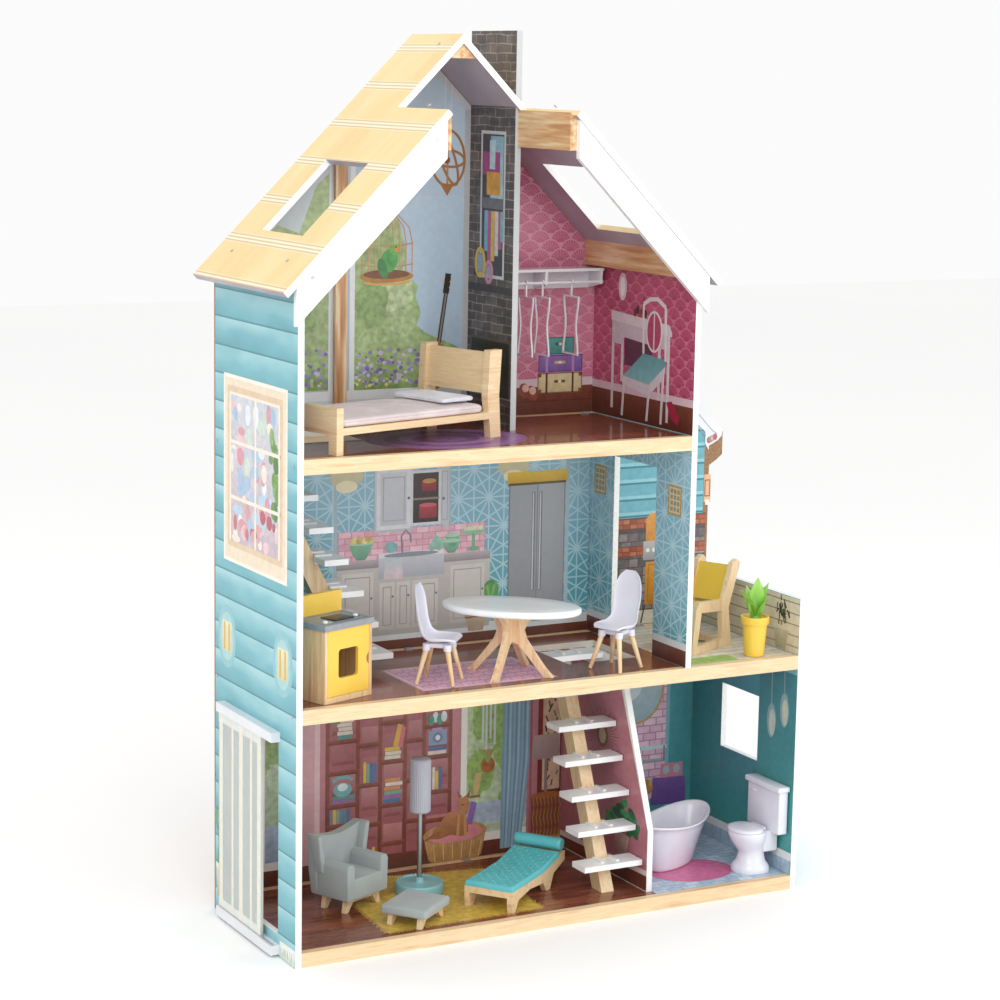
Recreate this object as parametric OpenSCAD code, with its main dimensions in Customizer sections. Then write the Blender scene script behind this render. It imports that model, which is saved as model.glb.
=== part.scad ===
// Three-storey wooden dollhouse with a side balcony, two ladder stairs, a sliding side door
// and loose furniture. The open side faces -Y, +Z is up, the origin is the middle of the base.

/* [House] */
// Width over the two outer walls of the ground storey
house_w = 800; // [760:1:900]
// Width over the two outer walls of the tower above it
tower_w = 607; // [590:1:660]
// Front to back depth of the side walls
wall_d = 276; // [270:1:320]
// Floor to floor height of a storey
storey_h = 330; // [315:1:400]
// Thickness of the wall boards
wall_t = 9; // [6:0.5:12]
// Thickness of the floor boards
floor_t = 9; // [6:0.5:12]
// Height of the pine rails under the floor edges
rail_h = 20; // [16:1:26]
// Thickness of the pine rails
rail_t = 12; // [9:1:16]
// Thickness of the hardboard back panels
back_t = 4; // [3:0.5:6]
// Height of the balcony parapet above the kitchen floor
parapet_h = 83; // [60:1:110]
// Height of the tower walls above the attic floor
attic_wall_h = 228; // [190:1:260]

/* [Roof] */
// Slope of both roof panels in degrees
roof_pitch = 45; // [40:1:50]
// Thickness of the roof panels
roof_t = 9; // [6:0.5:12]
// How far the eaves reach beyond the walls
eave_over = 25; // [15:1:40]
// How far the roof reaches in front of the walls
roof_front = 11; // [10:1:20]
// How far the roof reaches behind the walls
roof_back = 19; // [8:1:30]
// How far the ridge part stands back from the roof's front edge
ridge_setback = 149; // [100:1:160]
// Distance from the tower's side to the step in the roof's front edge
roof_step_x = 205; // [180:1:230]
// Distance from the tower's side to the lower edge of the skylight
skylight_x = 40; // [30:1:60]
// Width of the skylight, measured level
skylight_w = 93; // [60:1:110]
// Distance from the wall front to the skylight
skylight_y = 77; // [60:1:100]
// Length of the skylight from front to back
skylight_l = 131; // [90:1:150]
// Height of the bargeboards, measured plumb
barge_h = 50; // [35:1:60]
// Thickness of the bargeboards
barge_t = 9; // [6:0.5:10]
// How far the bargeboards reach past the tower walls
barge_out = 6; // [2:1:10]
// Height of the chimney above the ridge
chimney_over = 6; // [4:1:60]

/* [Rooms] */
// Left face of the partition between bedroom and closet
closet_x = 388; // [370:1:400]
// Distance from the wall front to the chimney partition
closet_y = 144; // [140:1:180]
// Left face of the bathroom partition
bath_x = 559; // [540:1:600]
// Distance from the wall front to the bathroom partition
bath_y = 25; // [14:1:60]
// Height where the bathroom partition starts to lean back
bath_kink_h = 90; // [60:1:150]
// How far the bathroom partition leans back at its top
bath_lean = 90; // [30:1:120]
// Bathroom window: distance from the wall front, width, sill height and height
bath_win = [96, 98, 150, 98];
// Balcony doorway: distance from the wall front, width and height
balcony_door = [90, 116, 274];
// Side doorway: distance from the wall front, width, sill height and height
side_door = [57, 140, 10, 268];
// How far the balcony's back panel reaches past the wall, and its printed eave past the wall
balcony_over = [8, 31];

/* [Stairs] */
// Length of a tread
tread_l = 95; // [80:1:98]
// Depth of a tread
tread_d = 36; // [28:1:40]
// Thickness of a tread
tread_t = 8; // [5:0.5:10]
// Number of treads
tread_n = 7; // [6:1:7]
// Level distance between the lower stair's treads
lower_run = 20.4; // [18:0.2:24]
// Height of the lower stair's first tread above the floor
lower_first = 38; // [20:0.5:40]
// Distance from the wall front to the lower stair's first tread
lower_stair_y = 35; // [15:1:40]
// Level distance between the upper stair's treads
upper_run = 23.1; // [18:0.2:24]
// Height of the upper stair's first tread above the floor
upper_first = 20; // [14:0.5:40]
// Width of the pine stringer
stringer_w = 20; // [14:1:26]
// Thickness of the stringer, measured level
stringer_t = 28; // [16:1:30]
// Width of a stair opening
stairwell_w = 112; // [102:1:118]
// Length of a stair opening
stairwell_l = 122; // [100:1:126]

/* [Side door] */
// Width of the sliding door
door_w = 147; // [140:1:150]
// Thickness of the sliding door
door_t = 4; // [3:0.5:5]
// Length of the two tracks
track_l = 191; // [180:1:200]
// Depth and height of a track
track_s = 13; // [11:1:16]

/* [Furniture] */
// Free length of the stove's front
stove_w = 87; // [80:1:95]
// Depth of the stove
stove_d = 68; // [60:1:72]
// Height of the stove cabinet
stove_h = 98; // [90:1:110]
// Length of the bed over the two boards
bed_l = 295; // [280:1:300]
// Width of the bed
bed_w = 140; // [120:1:142]
// Long and short radius of the table top
table_r = [99, 57];
// Height of the table
table_h = 98; // [90:1:105]
// Height of a chair's seat
seat_h = 64; // [56:1:68]
// Radius of the lamp's base
lamp_r = 35; // [28:1:36]
// Height of the lamp
lamp_h = 196; // [150:1:220]
// Length of the bathtub
tub_l = 172; // [150:1:176]
// Width of the bathtub
tub_w = 88; // [76:1:92]
// Height of the bathtub
tub_h = 78; // [60:1:90]

/* [Hidden] */
$fn = 48;
eps = 0.01;
// running clearance between pieces that move against each other
gap = 0.3;
floor_z = [rail_h, rail_h + storey_h, rail_h + 2 * storey_h];
stairwell_gap = 2.5;
// height left over the last tread, and how far its back stands from the opening's end
lower_last = [5.6, 17.6];
upper_last = [27.2, 2.5];
balcony_top = 40;
pitch_tan = tan(roof_pitch);
// underside and top side of the roof, plumb over a distance from the tower's side
function roof_low(x) = floor_z[2] + attic_wall_h + min(x, tower_w - x) * pitch_tan;
function roof_top(x) = roof_low(x) + roof_t / cos(roof_pitch);
ridge_z = roof_top(tower_w / 2);
roof_len = (tower_w / 2 + eave_over) / cos(roof_pitch);
x_lo = -eave_over;
x_hi = house_w + balcony_over[1];
y_lo = -roof_front;
y_hi = wall_d + roof_back;
shift = [-(x_lo + x_hi) / 2, -(y_lo + y_hi) / 2, 0];

// ---- shared helpers ----

// moves a piece from the corner frame (left wall's outer face, wall fronts, ground) to the base's middle
module house() {
    translate(shift) children();
}

// an outline in X and Z, run from y0 to y1
module along_y(outline, y0, y1) {
    translate([0, y1, 0]) rotate([90, 0, 0]) linear_extrude(y1 - y0) polygon(outline);
}

// an outline in Y and Z, run from x0 to x1
module along_x(outline, x0, x1) {
    translate([x0, 0, 0]) rotate([90, 0, 90]) linear_extrude(x1 - x0) polygon(outline);
}

// a box from one corner to the opposite one
module box(a, b) {
    translate(a) cube(b - a);
}

// a box that stands on a turned frame at a place on a floor
module stand(x, y, level, yaw) {
    house() translate([x, y, floor_z[level] + gap]) rotate([0, 0, yaw]) children();
}

// a flat outline with round corners
module round_rect(w, d, r) {
    translate([r, r]) offset_free_rect(w - 2 * r, d - 2 * r, r);
}

module offset_free_rect(w, d, r) {
    union() {
        translate([-r, 0]) square([w + 2 * r, d]);
        translate([0, -r]) square([w, d + 2 * r]);
        for (px = [0, w], py = [0, d]) translate([px, py]) circle(r);
    }
}

// ---- shell of the house ----

module left_wall() {
    color("paleturquoise") house() difference() {
        along_y([[0, 0], [wall_t, 0], [wall_t, roof_low(wall_t)], [0, roof_low(0)]], 0, wall_d);
        box([-1, side_door[0], floor_z[0] + side_door[2]],
            [wall_t + 1, side_door[0] + side_door[1], floor_z[0] + side_door[2] + side_door[3]]);
    }
}

module upper_right_wall() {
    x1 = tower_w;
    x0 = x1 - wall_t;
    door_y1 = balcony_door[0] + balcony_door[1];
    color("lightblue") house() difference() {
        along_y([[x0, floor_z[1]], [x1, floor_z[1]], [x1, roof_low(x1)], [x0, roof_low(x0)]], 0, wall_d);
        box([x0 - 1, balcony_door[0], floor_z[1] - 1], [x1 + 1, door_y1, floor_z[1] + balcony_door[2]]);
    }
}

module lower_right_wall() {
    z0 = floor_z[0] + bath_win[2];
    color("cadetblue") house() difference() {
        box([house_w - wall_t, 0, 0], [house_w, wall_d, floor_z[1] + parapet_h]);
        box([house_w - wall_t - 1, bath_win[0], z0],
            [house_w + 1, bath_win[0] + bath_win[1], z0 + bath_win[3]]);
    }
}

// a floor board between the rails, its top at a level
module floor_board(level, x1) {
    box([wall_t, rail_t, floor_z[level] - floor_t], [x1, wall_d - rail_t, floor_z[level]]);
}

module ground_floor() {
    color("sienna") house() floor_board(0, house_w - wall_t);
}

// the lower stair climbs to the back, the upper stair climbs to the left
lower_stair_x = bath_x - 2 - tread_l / 2;
lower_well = [lower_stair_x - tread_l / 2 - stairwell_gap,
    lower_stair_y + (tread_n - 1) * lower_run + tread_d + lower_last[1] - stairwell_l];
upper_well = [wall_t + 26, wall_d - rail_t - 13 - stairwell_w];
upper_stair_x = upper_well[0] + upper_last[1] + tread_d + (tread_n - 1) * upper_run;
upper_stair_y = upper_well[1] + stairwell_w / 2;

module kitchen_floor() {
    color("sienna") house() difference() {
        floor_board(1, house_w - wall_t);
        box([lower_well[0], lower_well[1], floor_z[1] - floor_t - 1],
            [lower_well[0] + stairwell_w, lower_well[1] + stairwell_l, floor_z[1] + 1]);
    }
}

module attic_floor() {
    color("sienna") house() difference() {
        floor_board(2, tower_w - wall_t);
        box([upper_well[0], upper_well[1], floor_z[2] - floor_t - 1],
            [upper_well[0] + stairwell_l, upper_well[1] + stairwell_w, floor_z[2] + 1]);
    }
}

module rails(y0) {
    for (level = [0:2]) {
        x1 = (level == 2 ? tower_w : house_w) - wall_t;
        box([wall_t, y0, floor_z[level] - rail_h], [x1, y0 + rail_t, floor_z[level]]);
    }
}

module front_rails() {
    color("burlywood") house() rails(0);
}

module back_rails() {
    color("burlywood") house() rails(wall_d - rail_t);
}

module ground_back_panel() {
    z1 = floor_z[1] - floor_t;
    color("rosybrown") house() box([0, wall_d, 0], [house_w, wall_d + back_t, z1]);
}

// the kitchen's panel runs on behind the balcony, where its edge follows a printed eave
module kitchen_back_panel() {
    z0 = floor_z[1] - floor_t;
    z1 = floor_z[2] - floor_t;
    x1 = house_w + balcony_over[0];
    x2 = house_w + balcony_over[1];
    tip_z = z1 - 33;
    top_z = floor_z[2] + balcony_top;
    color("skyblue") house() along_y([
        [0, z0], [x1, z0], [x1, tip_z - 50], [x2 - 10, tip_z - 42], [x2, tip_z - 34], [x2, tip_z],
        [x2 - (top_z - tip_z), top_z], [tower_w, top_z], [tower_w, z1], [0, z1]
    ], wall_d, wall_d + back_t);
}

module attic_back_panel() {
    z0 = floor_z[2] - floor_t;
    color("lightpink") house() along_y([
        [0, z0], [tower_w, z0], [tower_w, roof_low(tower_w)], [tower_w / 2, roof_low(tower_w / 2)],
        [0, roof_low(0)]
    ], wall_d, wall_d + back_t);
}

module chimney_partition() {
    color("dimgray") house()
        box([closet_x, closet_y, floor_z[2]], [closet_x + wall_t, wall_d, ridge_z + chimney_over]);
}

module bathroom_partition() {
    z0 = floor_z[0];
    z1 = floor_z[1] - floor_t;
    color("rosybrown") house() difference() {
        along_x([
            [bath_y, z0], [bath_y, z0 + bath_kink_h], [bath_y + bath_lean, z1], [wall_d, z1], [wall_d, z0]
        ], bath_x, bath_x + wall_t);
        box([bath_x - 1, wall_d - rail_t, z1 - rail_h + floor_t],
            [bath_x + wall_t + 1, wall_d + 1, z1 + 1]);
    }
}

// ---- roof ----

// one roof half on the right of the ridge, in the frame of its own slope
module roof_half() {
    step = (tower_w / 2 - roof_step_x) / cos(roof_pitch);
    mitre = roof_t * pitch_tan;
    sky_0 = (tower_w / 2 - skylight_x - skylight_w) / cos(roof_pitch);
    sky_1 = (tower_w / 2 - skylight_x) / cos(roof_pitch);
    difference() {
        union() {
            along_y([[0, 0], [step + eps, 0], [step + eps, -roof_t], [mitre, -roof_t]],
                -roof_front + ridge_setback, wall_d + roof_back);
            along_y([[step, 0], [roof_len, 0], [roof_len, -roof_t], [step, -roof_t]],
                -roof_front, wall_d + roof_back);
        }
        box([sky_0, skylight_y, -roof_t - 1], [sky_1, skylight_y + skylight_l, 1]);
    }
}

module roof_left_panel() {
    color("khaki") house() translate([tower_w / 2, 0, ridge_z]) mirror([1, 0, 0])
        rotate([0, roof_pitch, 0]) roof_half();
}

// the chimney comes up through a slot in the right panel
module roof_right_panel() {
    color("khaki") house() difference() {
        translate([tower_w / 2, 0, ridge_z]) rotate([0, roof_pitch, 0]) roof_half();
        box([closet_x - gap, closet_y - gap, floor_z[2]],
            [closet_x + wall_t + gap, wall_d, ridge_z + 1]);
    }
}

// sizes of the pine cleats that the roof is screwed to
ridge_block_h = 20;
cleat_t = 12;
purlin_h = 38;
eave_cleat = [18, 18];

// a cleat under the right roof half, its top bevelled to the slope
module slope_cleat(x0, t, h, y0, y1) {
    x1 = x0 + t;
    low_z = roof_low(x1) - h;
    along_y([[x0, low_z], [x1, low_z], [x1, roof_low(x1)], [x0, roof_low(x0)]], y0, y1);
}

module roof_cleats() {
    apex = roof_low(tower_w / 2);
    half = ridge_block_h / pitch_tan;
    purlin_x = closet_x + 4;
    eave_x = tower_w - wall_t - eave_cleat[0];
    color("burlywood") house() {
        along_y([
            [tower_w / 2, apex], [tower_w / 2 - half, apex - ridge_block_h],
            [tower_w / 2 + half, apex - ridge_block_h]
        ], ridge_setback - roof_front + 4, wall_d);
        slope_cleat(purlin_x, cleat_t, purlin_h, 0, closet_y);
        slope_cleat(eave_x, eave_cleat[0], eave_cleat[1], 0, wall_d);
        translate([tower_w, 0, 0]) mirror([1, 0, 0]) {
            slope_cleat(purlin_x, cleat_t, purlin_h, 0, wall_d);
            slope_cleat(eave_x, eave_cleat[0], eave_cleat[1], 0, wall_d);
        }
    }
}

module bargeboard() {
    x0 = -barge_out;
    x1 = roof_step_x;
    along_y([
        [x0, roof_low(x0) - barge_h], [x0, roof_low(x0)], [x1, roof_low(x1)], [x1, roof_low(x1) - barge_h]
    ], -barge_t, 0);
}

module left_bargeboard() {
    color("whitesmoke") house() bargeboard();
}

module right_bargeboard() {
    color("whitesmoke") house() translate([tower_w, 0, 0]) mirror([1, 0, 0]) bargeboard();
}

// a batten that stiffens the attic's back panel
batten = [176, 18, 8];

module attic_batten() {
    x1 = batten[0] + batten[1];
    color("burlywood") house() along_y([
        [batten[0], floor_z[2]], [x1, floor_z[2]], [x1, roof_low(x1)], [batten[0], roof_low(batten[0])]
    ], wall_d - batten[2], wall_d);
}

// ---- stairs ----

// the side lugs of a tread hold it on the stringer
lug = [5, 26, 13];
notch_y = 31;

function rise(first, last) = (storey_h - last[0] - first - tread_t) / (tread_n - 1);

// treads of a stair that climbs along +Y from y = 0, centred on x = 0
module treads(run, first, last) {
    for (k = [0:tread_n - 1]) translate([0, k * run, first + k * rise(first, last)]) {
        for (s = [-1, 1])
            translate([s * (stringer_w + gap + lug[0]) / 2 - lug[0] / 2, tread_d - lug[1], -3]) cube(lug);
        difference() {
            translate([-tread_l / 2, 0, 0]) cube([tread_l, tread_d, tread_t]);
            translate([-(stringer_w + gap) / 2, notch_y, -1])
                cube([stringer_w + gap, tread_d, tread_t + 2]);
        }
    }
}

// a stringer whose front face passes through the treads' notches and stops under the upper floor
module stringer(run, first, last) {
    slope = run / rise(first, last);
    y0 = notch_y + gap - first * slope;
    top = storey_h - floor_t - 1;
    along_x([[y0, 0], [y0 + stringer_t, 0], [y0 + stringer_t + top * slope, top], [y0 + top * slope, top]],
        -stringer_w / 2, stringer_w / 2);
}

module lower_stair() {
    house() translate([lower_stair_x, lower_stair_y, floor_z[0]]) children();
}

module upper_stair() {
    house() translate([upper_stair_x, upper_stair_y, floor_z[1]]) rotate([0, 0, 90]) children();
}

module lower_stair_stringer() {
    color("burlywood") lower_stair() stringer(lower_run, lower_first, lower_last);
}

module lower_stair_treads() {
    color("white") lower_stair() treads(lower_run, lower_first, lower_last);
}

module upper_stair_stringer() {
    color("burlywood") difference() {
        upper_stair() stringer(upper_run, upper_first, upper_last);
        house() box([-1, 0, floor_z[1]], [wall_t + gap, wall_d, floor_z[2]]);
    }
}

module upper_stair_treads() {
    color("white") upper_stair() treads(upper_run, upper_first, upper_last);
}

// ---- sliding side door ----

track_y = side_door[0] - 5;
slot_d = 8;
door_x = -track_s / 2 - door_t / 2 - 1;
track_z = [floor_z[0] + side_door[2] - track_s - 13, floor_z[0] + side_door[2] + side_door[3] - 1];

module door_tracks() {
    slot_x = [door_x - gap, door_x + door_t + gap];
    slot_y = [track_y + 1.5, track_y + track_l - 1.5];
    color("white") house() difference() {
        for (z = track_z) box([-track_s, track_y, z], [0, track_y + track_l, z + track_s]);
        box([slot_x[0], slot_y[0], track_z[0] + track_s - slot_d],
            [slot_x[1], slot_y[1], track_z[0] + track_s + 1]);
        box([slot_x[0], slot_y[0], track_z[1] - 1], [slot_x[1], slot_y[1], track_z[1] + slot_d]);
    }
}

// the door stands at the back of its track, so that the front of the doorway is open
module sliding_door() {
    y1 = track_y + track_l - 1.5 - 2 * gap;
    color("azure", 0.6) house() box([door_x, y1 - door_w, track_z[0] + track_s - slot_d + gap],
        [door_x + door_t, y1, track_z[1] + slot_d - 1]);
}

// ---- closet shelf and hangers ----

shelf = [closet_x + wall_t + 2, tower_w - wall_t - 8];
shelf_z = floor_z[2] + 216;
shelf_d = 40;
rod_r = 2;
rod_y = wall_d - shelf_d + 4;
rod_z = shelf_z - 20;

module closet_shelf() {
    arm_x = [for (k = [0:2]) shelf[0] + 2 + k * (shelf[1] - shelf[0] - 8) / 2];
    color("white") house() {
        box([shelf[0], wall_d - shelf_d, shelf_z - 4], [shelf[1], wall_d, shelf_z]);
        box([shelf[0], wall_d - 4, shelf_z - 31], [shelf[1], wall_d, shelf_z - 4 + eps]);
        translate([shelf[0], rod_y, rod_z]) rotate([0, 90, 0])
            cylinder(h = shelf[1] - shelf[0], r = rod_r);
        for (x = arm_x) along_x([
            [wall_d - 4 + eps, shelf_z - 31], [rod_y - 3, rod_z - 3], [rod_y - 3, rod_z + 3],
            [wall_d - shelf_d, shelf_z - 4 + eps], [wall_d - 4 + eps, shelf_z - 4 + eps]
        ], x, x + 4);
    }
}

hook_r = rod_r + gap;
hanger_t = 2.4;
hanger_h = 103;
hanger_w = 21;
hanger_neck = 20;

// outline of a hanger's wavy loop, grown by a margin
function hanger_side(margin, side) = [
    for (k = [0:12]) let (t = k / 12)
        [side * (hanger_w - 3 * (1 - cos(t * 360)) + margin),
            -hanger_neck - t * (hanger_h - hanger_neck) - (k == 12 ? margin : 0) + (k == 0 ? margin : 0)]
];

module hanger(x) {
    right = hanger_side(hanger_t / 2, 1);
    left = hanger_side(hanger_t / 2, -1);
    in_right = hanger_side(-hanger_t / 2, 1);
    in_left = hanger_side(-hanger_t / 2, -1);
    n = len(right);
    reach = hook_r + hanger_t + 1;
    color("white") house() translate([x - hanger_t / 2, rod_y, rod_z]) rotate([90, 0, 90])
        linear_extrude(hanger_t) {
        difference() {
            polygon(concat(right, [for (k = [n - 1:-1:0]) left[k]]));
            polygon(concat(in_right, [for (k = [n - 1:-1:0]) in_left[k]]));
        }
        difference() {
            circle(hook_r + hanger_t);
            circle(hook_r);
            translate([-reach, -reach]) square([reach - hanger_t / 2, reach]);
        }
        translate([-hanger_t / 2, -hanger_neck]) square([hanger_t, hanger_neck - hook_r]);
    }
}

hanger_x = [closet_x + 75, closet_x + 102, closet_x + 150];

module hanger_a() {
    hanger(hanger_x[0]);
}

module hanger_b() {
    hanger(hanger_x[1]);
}

module hanger_c() {
    hanger(hanger_x[2]);
}

// ---- small fittings ----

cap_r = 2.4;
cap_h = 0.9;

// a screw head that stands on a wall's outer face; side is -1 for the left face and 1 for the right
module wall_cap(x, y, z, side) {
    translate([x, y, z]) rotate([0, side * 90, 0]) cylinder(h = cap_h, r = cap_r);
}

// screw heads on the right roof half, in the frame of its slope
module roof_caps() {
    places = [
        [tower_w / 2 - 14, wall_d - 92], [closet_x + 10, 52], [closet_x + 10, wall_d - 36],
        [tower_w - 10, 57], [tower_w - 10, wall_d - 35]
    ];
    for (p = places) {
        s = (abs(p[0] - tower_w / 2)) / cos(roof_pitch);
        if (p[0] != closet_x + 10 || p[1] < closet_y)
            translate([s, p[1], 0]) cylinder(h = cap_h, r = cap_r);
    }
}

module barge_caps() {
    for (x = [16, roof_step_x - 15]) translate([x, -barge_t, roof_low(x) - 10]) rotate([90, 0, 0])
        cylinder(h = cap_h, r = cap_r);
}

module screws() {
    color("silver") house() {
        for (y = [12, wall_d - 6], level = [1, 2]) {
            wall_cap(0, y, floor_z[level] - rail_h / 2, -1);
            wall_cap(level == 2 ? tower_w : house_w, y, floor_z[level] - rail_h / 2, 1);
        }
        translate([tower_w / 2, 0, ridge_z]) rotate([0, roof_pitch, 0]) roof_caps();
        translate([tower_w / 2, 0, ridge_z]) mirror([1, 0, 0]) rotate([0, roof_pitch, 0]) roof_caps();
        barge_caps();
        translate([tower_w, 0, 0]) mirror([1, 0, 0]) barge_caps();
    }
}

// clear clips that hold the back panels to the floors
module panel_clips() {
    clip = [11, 8, 2.2];
    color("gainsboro") house() for (c = [[390, 0], [700, 0], [290, 1], [680, 1], [350, 2], [576, 2]])
        translate([c[0], wall_d - clip[1] - 4, floor_z[c[1]]]) cube(clip);
}

// ---- bed ----

bed_at = [61, 13, 2, 16];
bed_leg = [11.5, 16];
bed_deck = [26, 9];
mattress_h = 15;

module bed_frame() {
    head = [20, 12];
    head_h = 120;
    foot_h = 62;
    color("burlywood") stand(bed_at[0], bed_at[1], bed_at[2], bed_at[3]) {
        // foot board with its two legs
        difference() {
            cube([bed_leg[0], bed_w, foot_h]);
            translate([-1, bed_leg[1], -1])
                cube([bed_leg[0] + 2, bed_w - 2 * bed_leg[1], bed_deck[0] + 1]);
        }
        // deck
        translate([bed_leg[0] - eps, 0, bed_deck[0]])
            cube([bed_l - bed_leg[0] - head[0] + 8, bed_w, bed_deck[1]]);
        // head posts, which lean back above and below the deck
        for (y = [0, bed_w - head[1]]) translate([bed_l - head[0], 0, 0]) along_y([
            [3, 0], [head[0] + 2, 0], [head[0] - 2, 58], [head[0] + 2, head_h], [0, head_h], [-4, 58]
        ], y, y + head[1]);
        translate([bed_l - head[0] + 3, head[1] - eps, 60]) rotate([0, 3, 0])
            cube([10, bed_w - 2 * head[1] + 2 * eps, 56]);
    }
}

module mattress() {
    x0 = bed_leg[0] + 2;
    l = bed_l - bed_leg[0] - 20 - 10;
    color("mistyrose") stand(bed_at[0], bed_at[1], bed_at[2], bed_at[3])
        translate([x0, 3, bed_deck[0] + bed_deck[1] + gap]) linear_extrude(mattress_h)
            round_rect(l, bed_w - 6, 6);
}

module pillow() {
    l = 62;
    w = 104;
    x0 = bed_l - 20 - 9 - l;
    color("white") stand(bed_at[0], bed_at[1], bed_at[2], bed_at[3])
        translate([x0, (bed_w - w) / 2, bed_deck[0] + bed_deck[1] + mattress_h + 2 * gap])
            linear_extrude(9) round_rect(l, w, 8);
}

// ---- table and chairs ----

table_at = [358, 76, 1, -50];
table_turn = 9;
table_t = 10;

module table_top() {
    steps = 72;
    rim = [for (k = [0:steps - 1]) [table_r[0] * cos(k * 360 / steps), table_r[1] * sin(k * 360 / steps)]];
    color("white") stand(table_at[0], table_at[1], table_at[2], table_at[3])
        translate([0, 0, table_h - table_t]) rotate([0, 0, table_turn]) linear_extrude(table_t) polygon(rim);
}

// half outline of a crossed leg board, from the foot to the table top
function table_leg_side(s) = [
    [s * 64, 0], [s * 52, 12], [s * 36, 32], [s * 23, 50], [s * 19, 62], [s * 24, 74], [s * 36, 83],
    [s * 44, table_h - table_t]
];

module table_legs() {
    t = 9;
    foot = 13;
    right = table_leg_side(1);
    left = table_leg_side(-1);
    n = len(right);
    color("burlywood") stand(table_at[0], table_at[1], table_at[2], table_at[3])
        for (turn = [0, 90]) rotate([0, 0, turn]) along_y(concat(
            right, [for (k = [n - 1:-1:0]) left[k]],
            [[-64 + foot, 0], [-14, 42], [0, 47], [14, 42], [64 - foot, 0]]
        ), -t / 2, t / 2);
}

chair_a_at = [244, 70, 1, -41];
chair_b_at = [508, 41, 1, 204];
shell_t = 3;
chair_spread = 26;

// a chair faces local +X; its moulded shell is one bent sheet on a bracket
module chair_shell() {
    w = 50;
    along_y([
        [25, seat_h], [27, seat_h - 3], [24, seat_h - 5.5], [-10, seat_h - 8], [-20, seat_h - 3],
        [-25, seat_h + 12], [-33, seat_h + 70], [-30, seat_h + 72], [-22, seat_h + 14], [-17, seat_h + 2],
        [-9, seat_h - 5]
    ], -w / 2, w / 2);
    translate([-17, -15, seat_h - 14]) cube([32, 30, 8]);
}

module chair_legs() {
    h = seat_h - 12;
    tilt = atan2(chair_spread - 14, h);
    for (sx = [-1, 1], sy = [-1, 1]) translate([sx * chair_spread, sy * chair_spread, 0])
        rotate([sy * tilt, -sx * tilt, 0]) translate([0, 0, 0.9]) cylinder(h = h - 3, r1 = 2.6, r2 = 3.9);
}

module chair_a_shell() {
    color("white") stand(chair_a_at[0], chair_a_at[1], chair_a_at[2], chair_a_at[3]) chair_shell();
}

module chair_a_legs() {
    color("burlywood") stand(chair_a_at[0], chair_a_at[1], chair_a_at[2], chair_a_at[3]) chair_legs();
}

module chair_b_shell() {
    color("white") stand(chair_b_at[0], chair_b_at[1], chair_b_at[2], chair_b_at[3]) chair_shell();
}

module chair_b_legs() {
    color("burlywood") stand(chair_b_at[0], chair_b_at[1], chair_b_at[2], chair_b_at[3]) chair_legs();
}

// ---- stove ----

stove_at = [47, 15, 1, 19.5];
stove_side = 5;
stove_foot = 8;
stove_door_t = 5;
stove_gap = 0.5;
// the door turns on two pins in its rounded edge
stove_pin = [stove_side + stove_gap + stove_door_t / 2, stove_door_t / 2];
stove_pin_r = 1.2;
stove_pin_l = 3;
splash = [28, 8];

module stove_cabinet() {
    color("burlywood") stand(stove_at[0], stove_at[1], stove_at[2], stove_at[3]) difference() {
        cube([stove_w, stove_d, stove_h]);
        translate([stove_side, -1, stove_foot])
            cube([stove_w - 2 * stove_side, stove_d - stove_side + 1, stove_h - stove_foot - 4]);
        translate([stove_side, -1, stove_foot])
            cube([stove_w - 2 * stove_side, stove_door_t + 2, stove_h]);
        translate([stove_pin[0], stove_pin[1], stove_foot - stove_pin_l - gap])
            cylinder(h = stove_foot, r = stove_pin_r + gap);
    }
}

module stove_top() {
    over = 2;
    color("slategray") stand(stove_at[0], stove_at[1], stove_at[2], stove_at[3]) difference() {
        translate([-over, -over, stove_h]) cube([stove_w + 2 * over, stove_d + over, 8]);
        translate([stove_pin[0], stove_pin[1], stove_h - 1])
            cylinder(h = stove_pin_l + gap + 1, r = stove_pin_r + gap);
    }
}

module stove_splashback() {
    color("gold") stand(stove_at[0], stove_at[1], stove_at[2], stove_at[3])
        translate([-2, stove_d - splash[1], stove_h + 8]) cube([stove_w + 4, splash[1], splash[0]]);
}

module stove_door() {
    w = stove_w - 2 * stove_side - 2 * stove_gap;
    h = stove_h - stove_foot - 2 * stove_gap;
    edge = stove_door_t / 2;
    color("gold") stand(stove_at[0], stove_at[1], stove_at[2], stove_at[3])
        translate([stove_side + stove_gap, 0, stove_foot + stove_gap]) {
            translate([0, stove_door_t, 0]) rotate([90, 0, 0]) linear_extrude(stove_door_t) difference() {
                translate([edge, 0]) square([w - edge, h]);
                translate([w * 0.26, h * 0.26]) round_rect(w * 0.48, h * 0.44, 5);
                translate([w + 5, h * 0.48]) circle(9.5);
            }
            translate([edge, edge, 0]) cylinder(h = h, r = edge);
            translate([edge, edge, -stove_pin_l]) cylinder(h = h + 2 * stove_pin_l, r = stove_pin_r);
        }
}

// ---- armchair, ottoman and lamp ----

armchair_at = [167, 127, 0, 24];

// two pine rails with a slanted leg at each end, under a seat
module leg_rails(w, y_list, h) {
    for (y = y_list) along_y([
        [-w / 2, h], [-w / 2 - 3, 0], [-w / 2 + 4, 0], [-w / 2 + 13, h - 6], [w / 2 - 13, h - 6],
        [w / 2 - 4, 0], [w / 2 + 3, 0], [w / 2, h]
    ], y, y + 7);
}

module armchair_legs() {
    color("burlywood") stand(armchair_at[0], armchair_at[1], armchair_at[2], armchair_at[3])
        leg_rails(68, [10, 48], 19);
}

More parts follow.
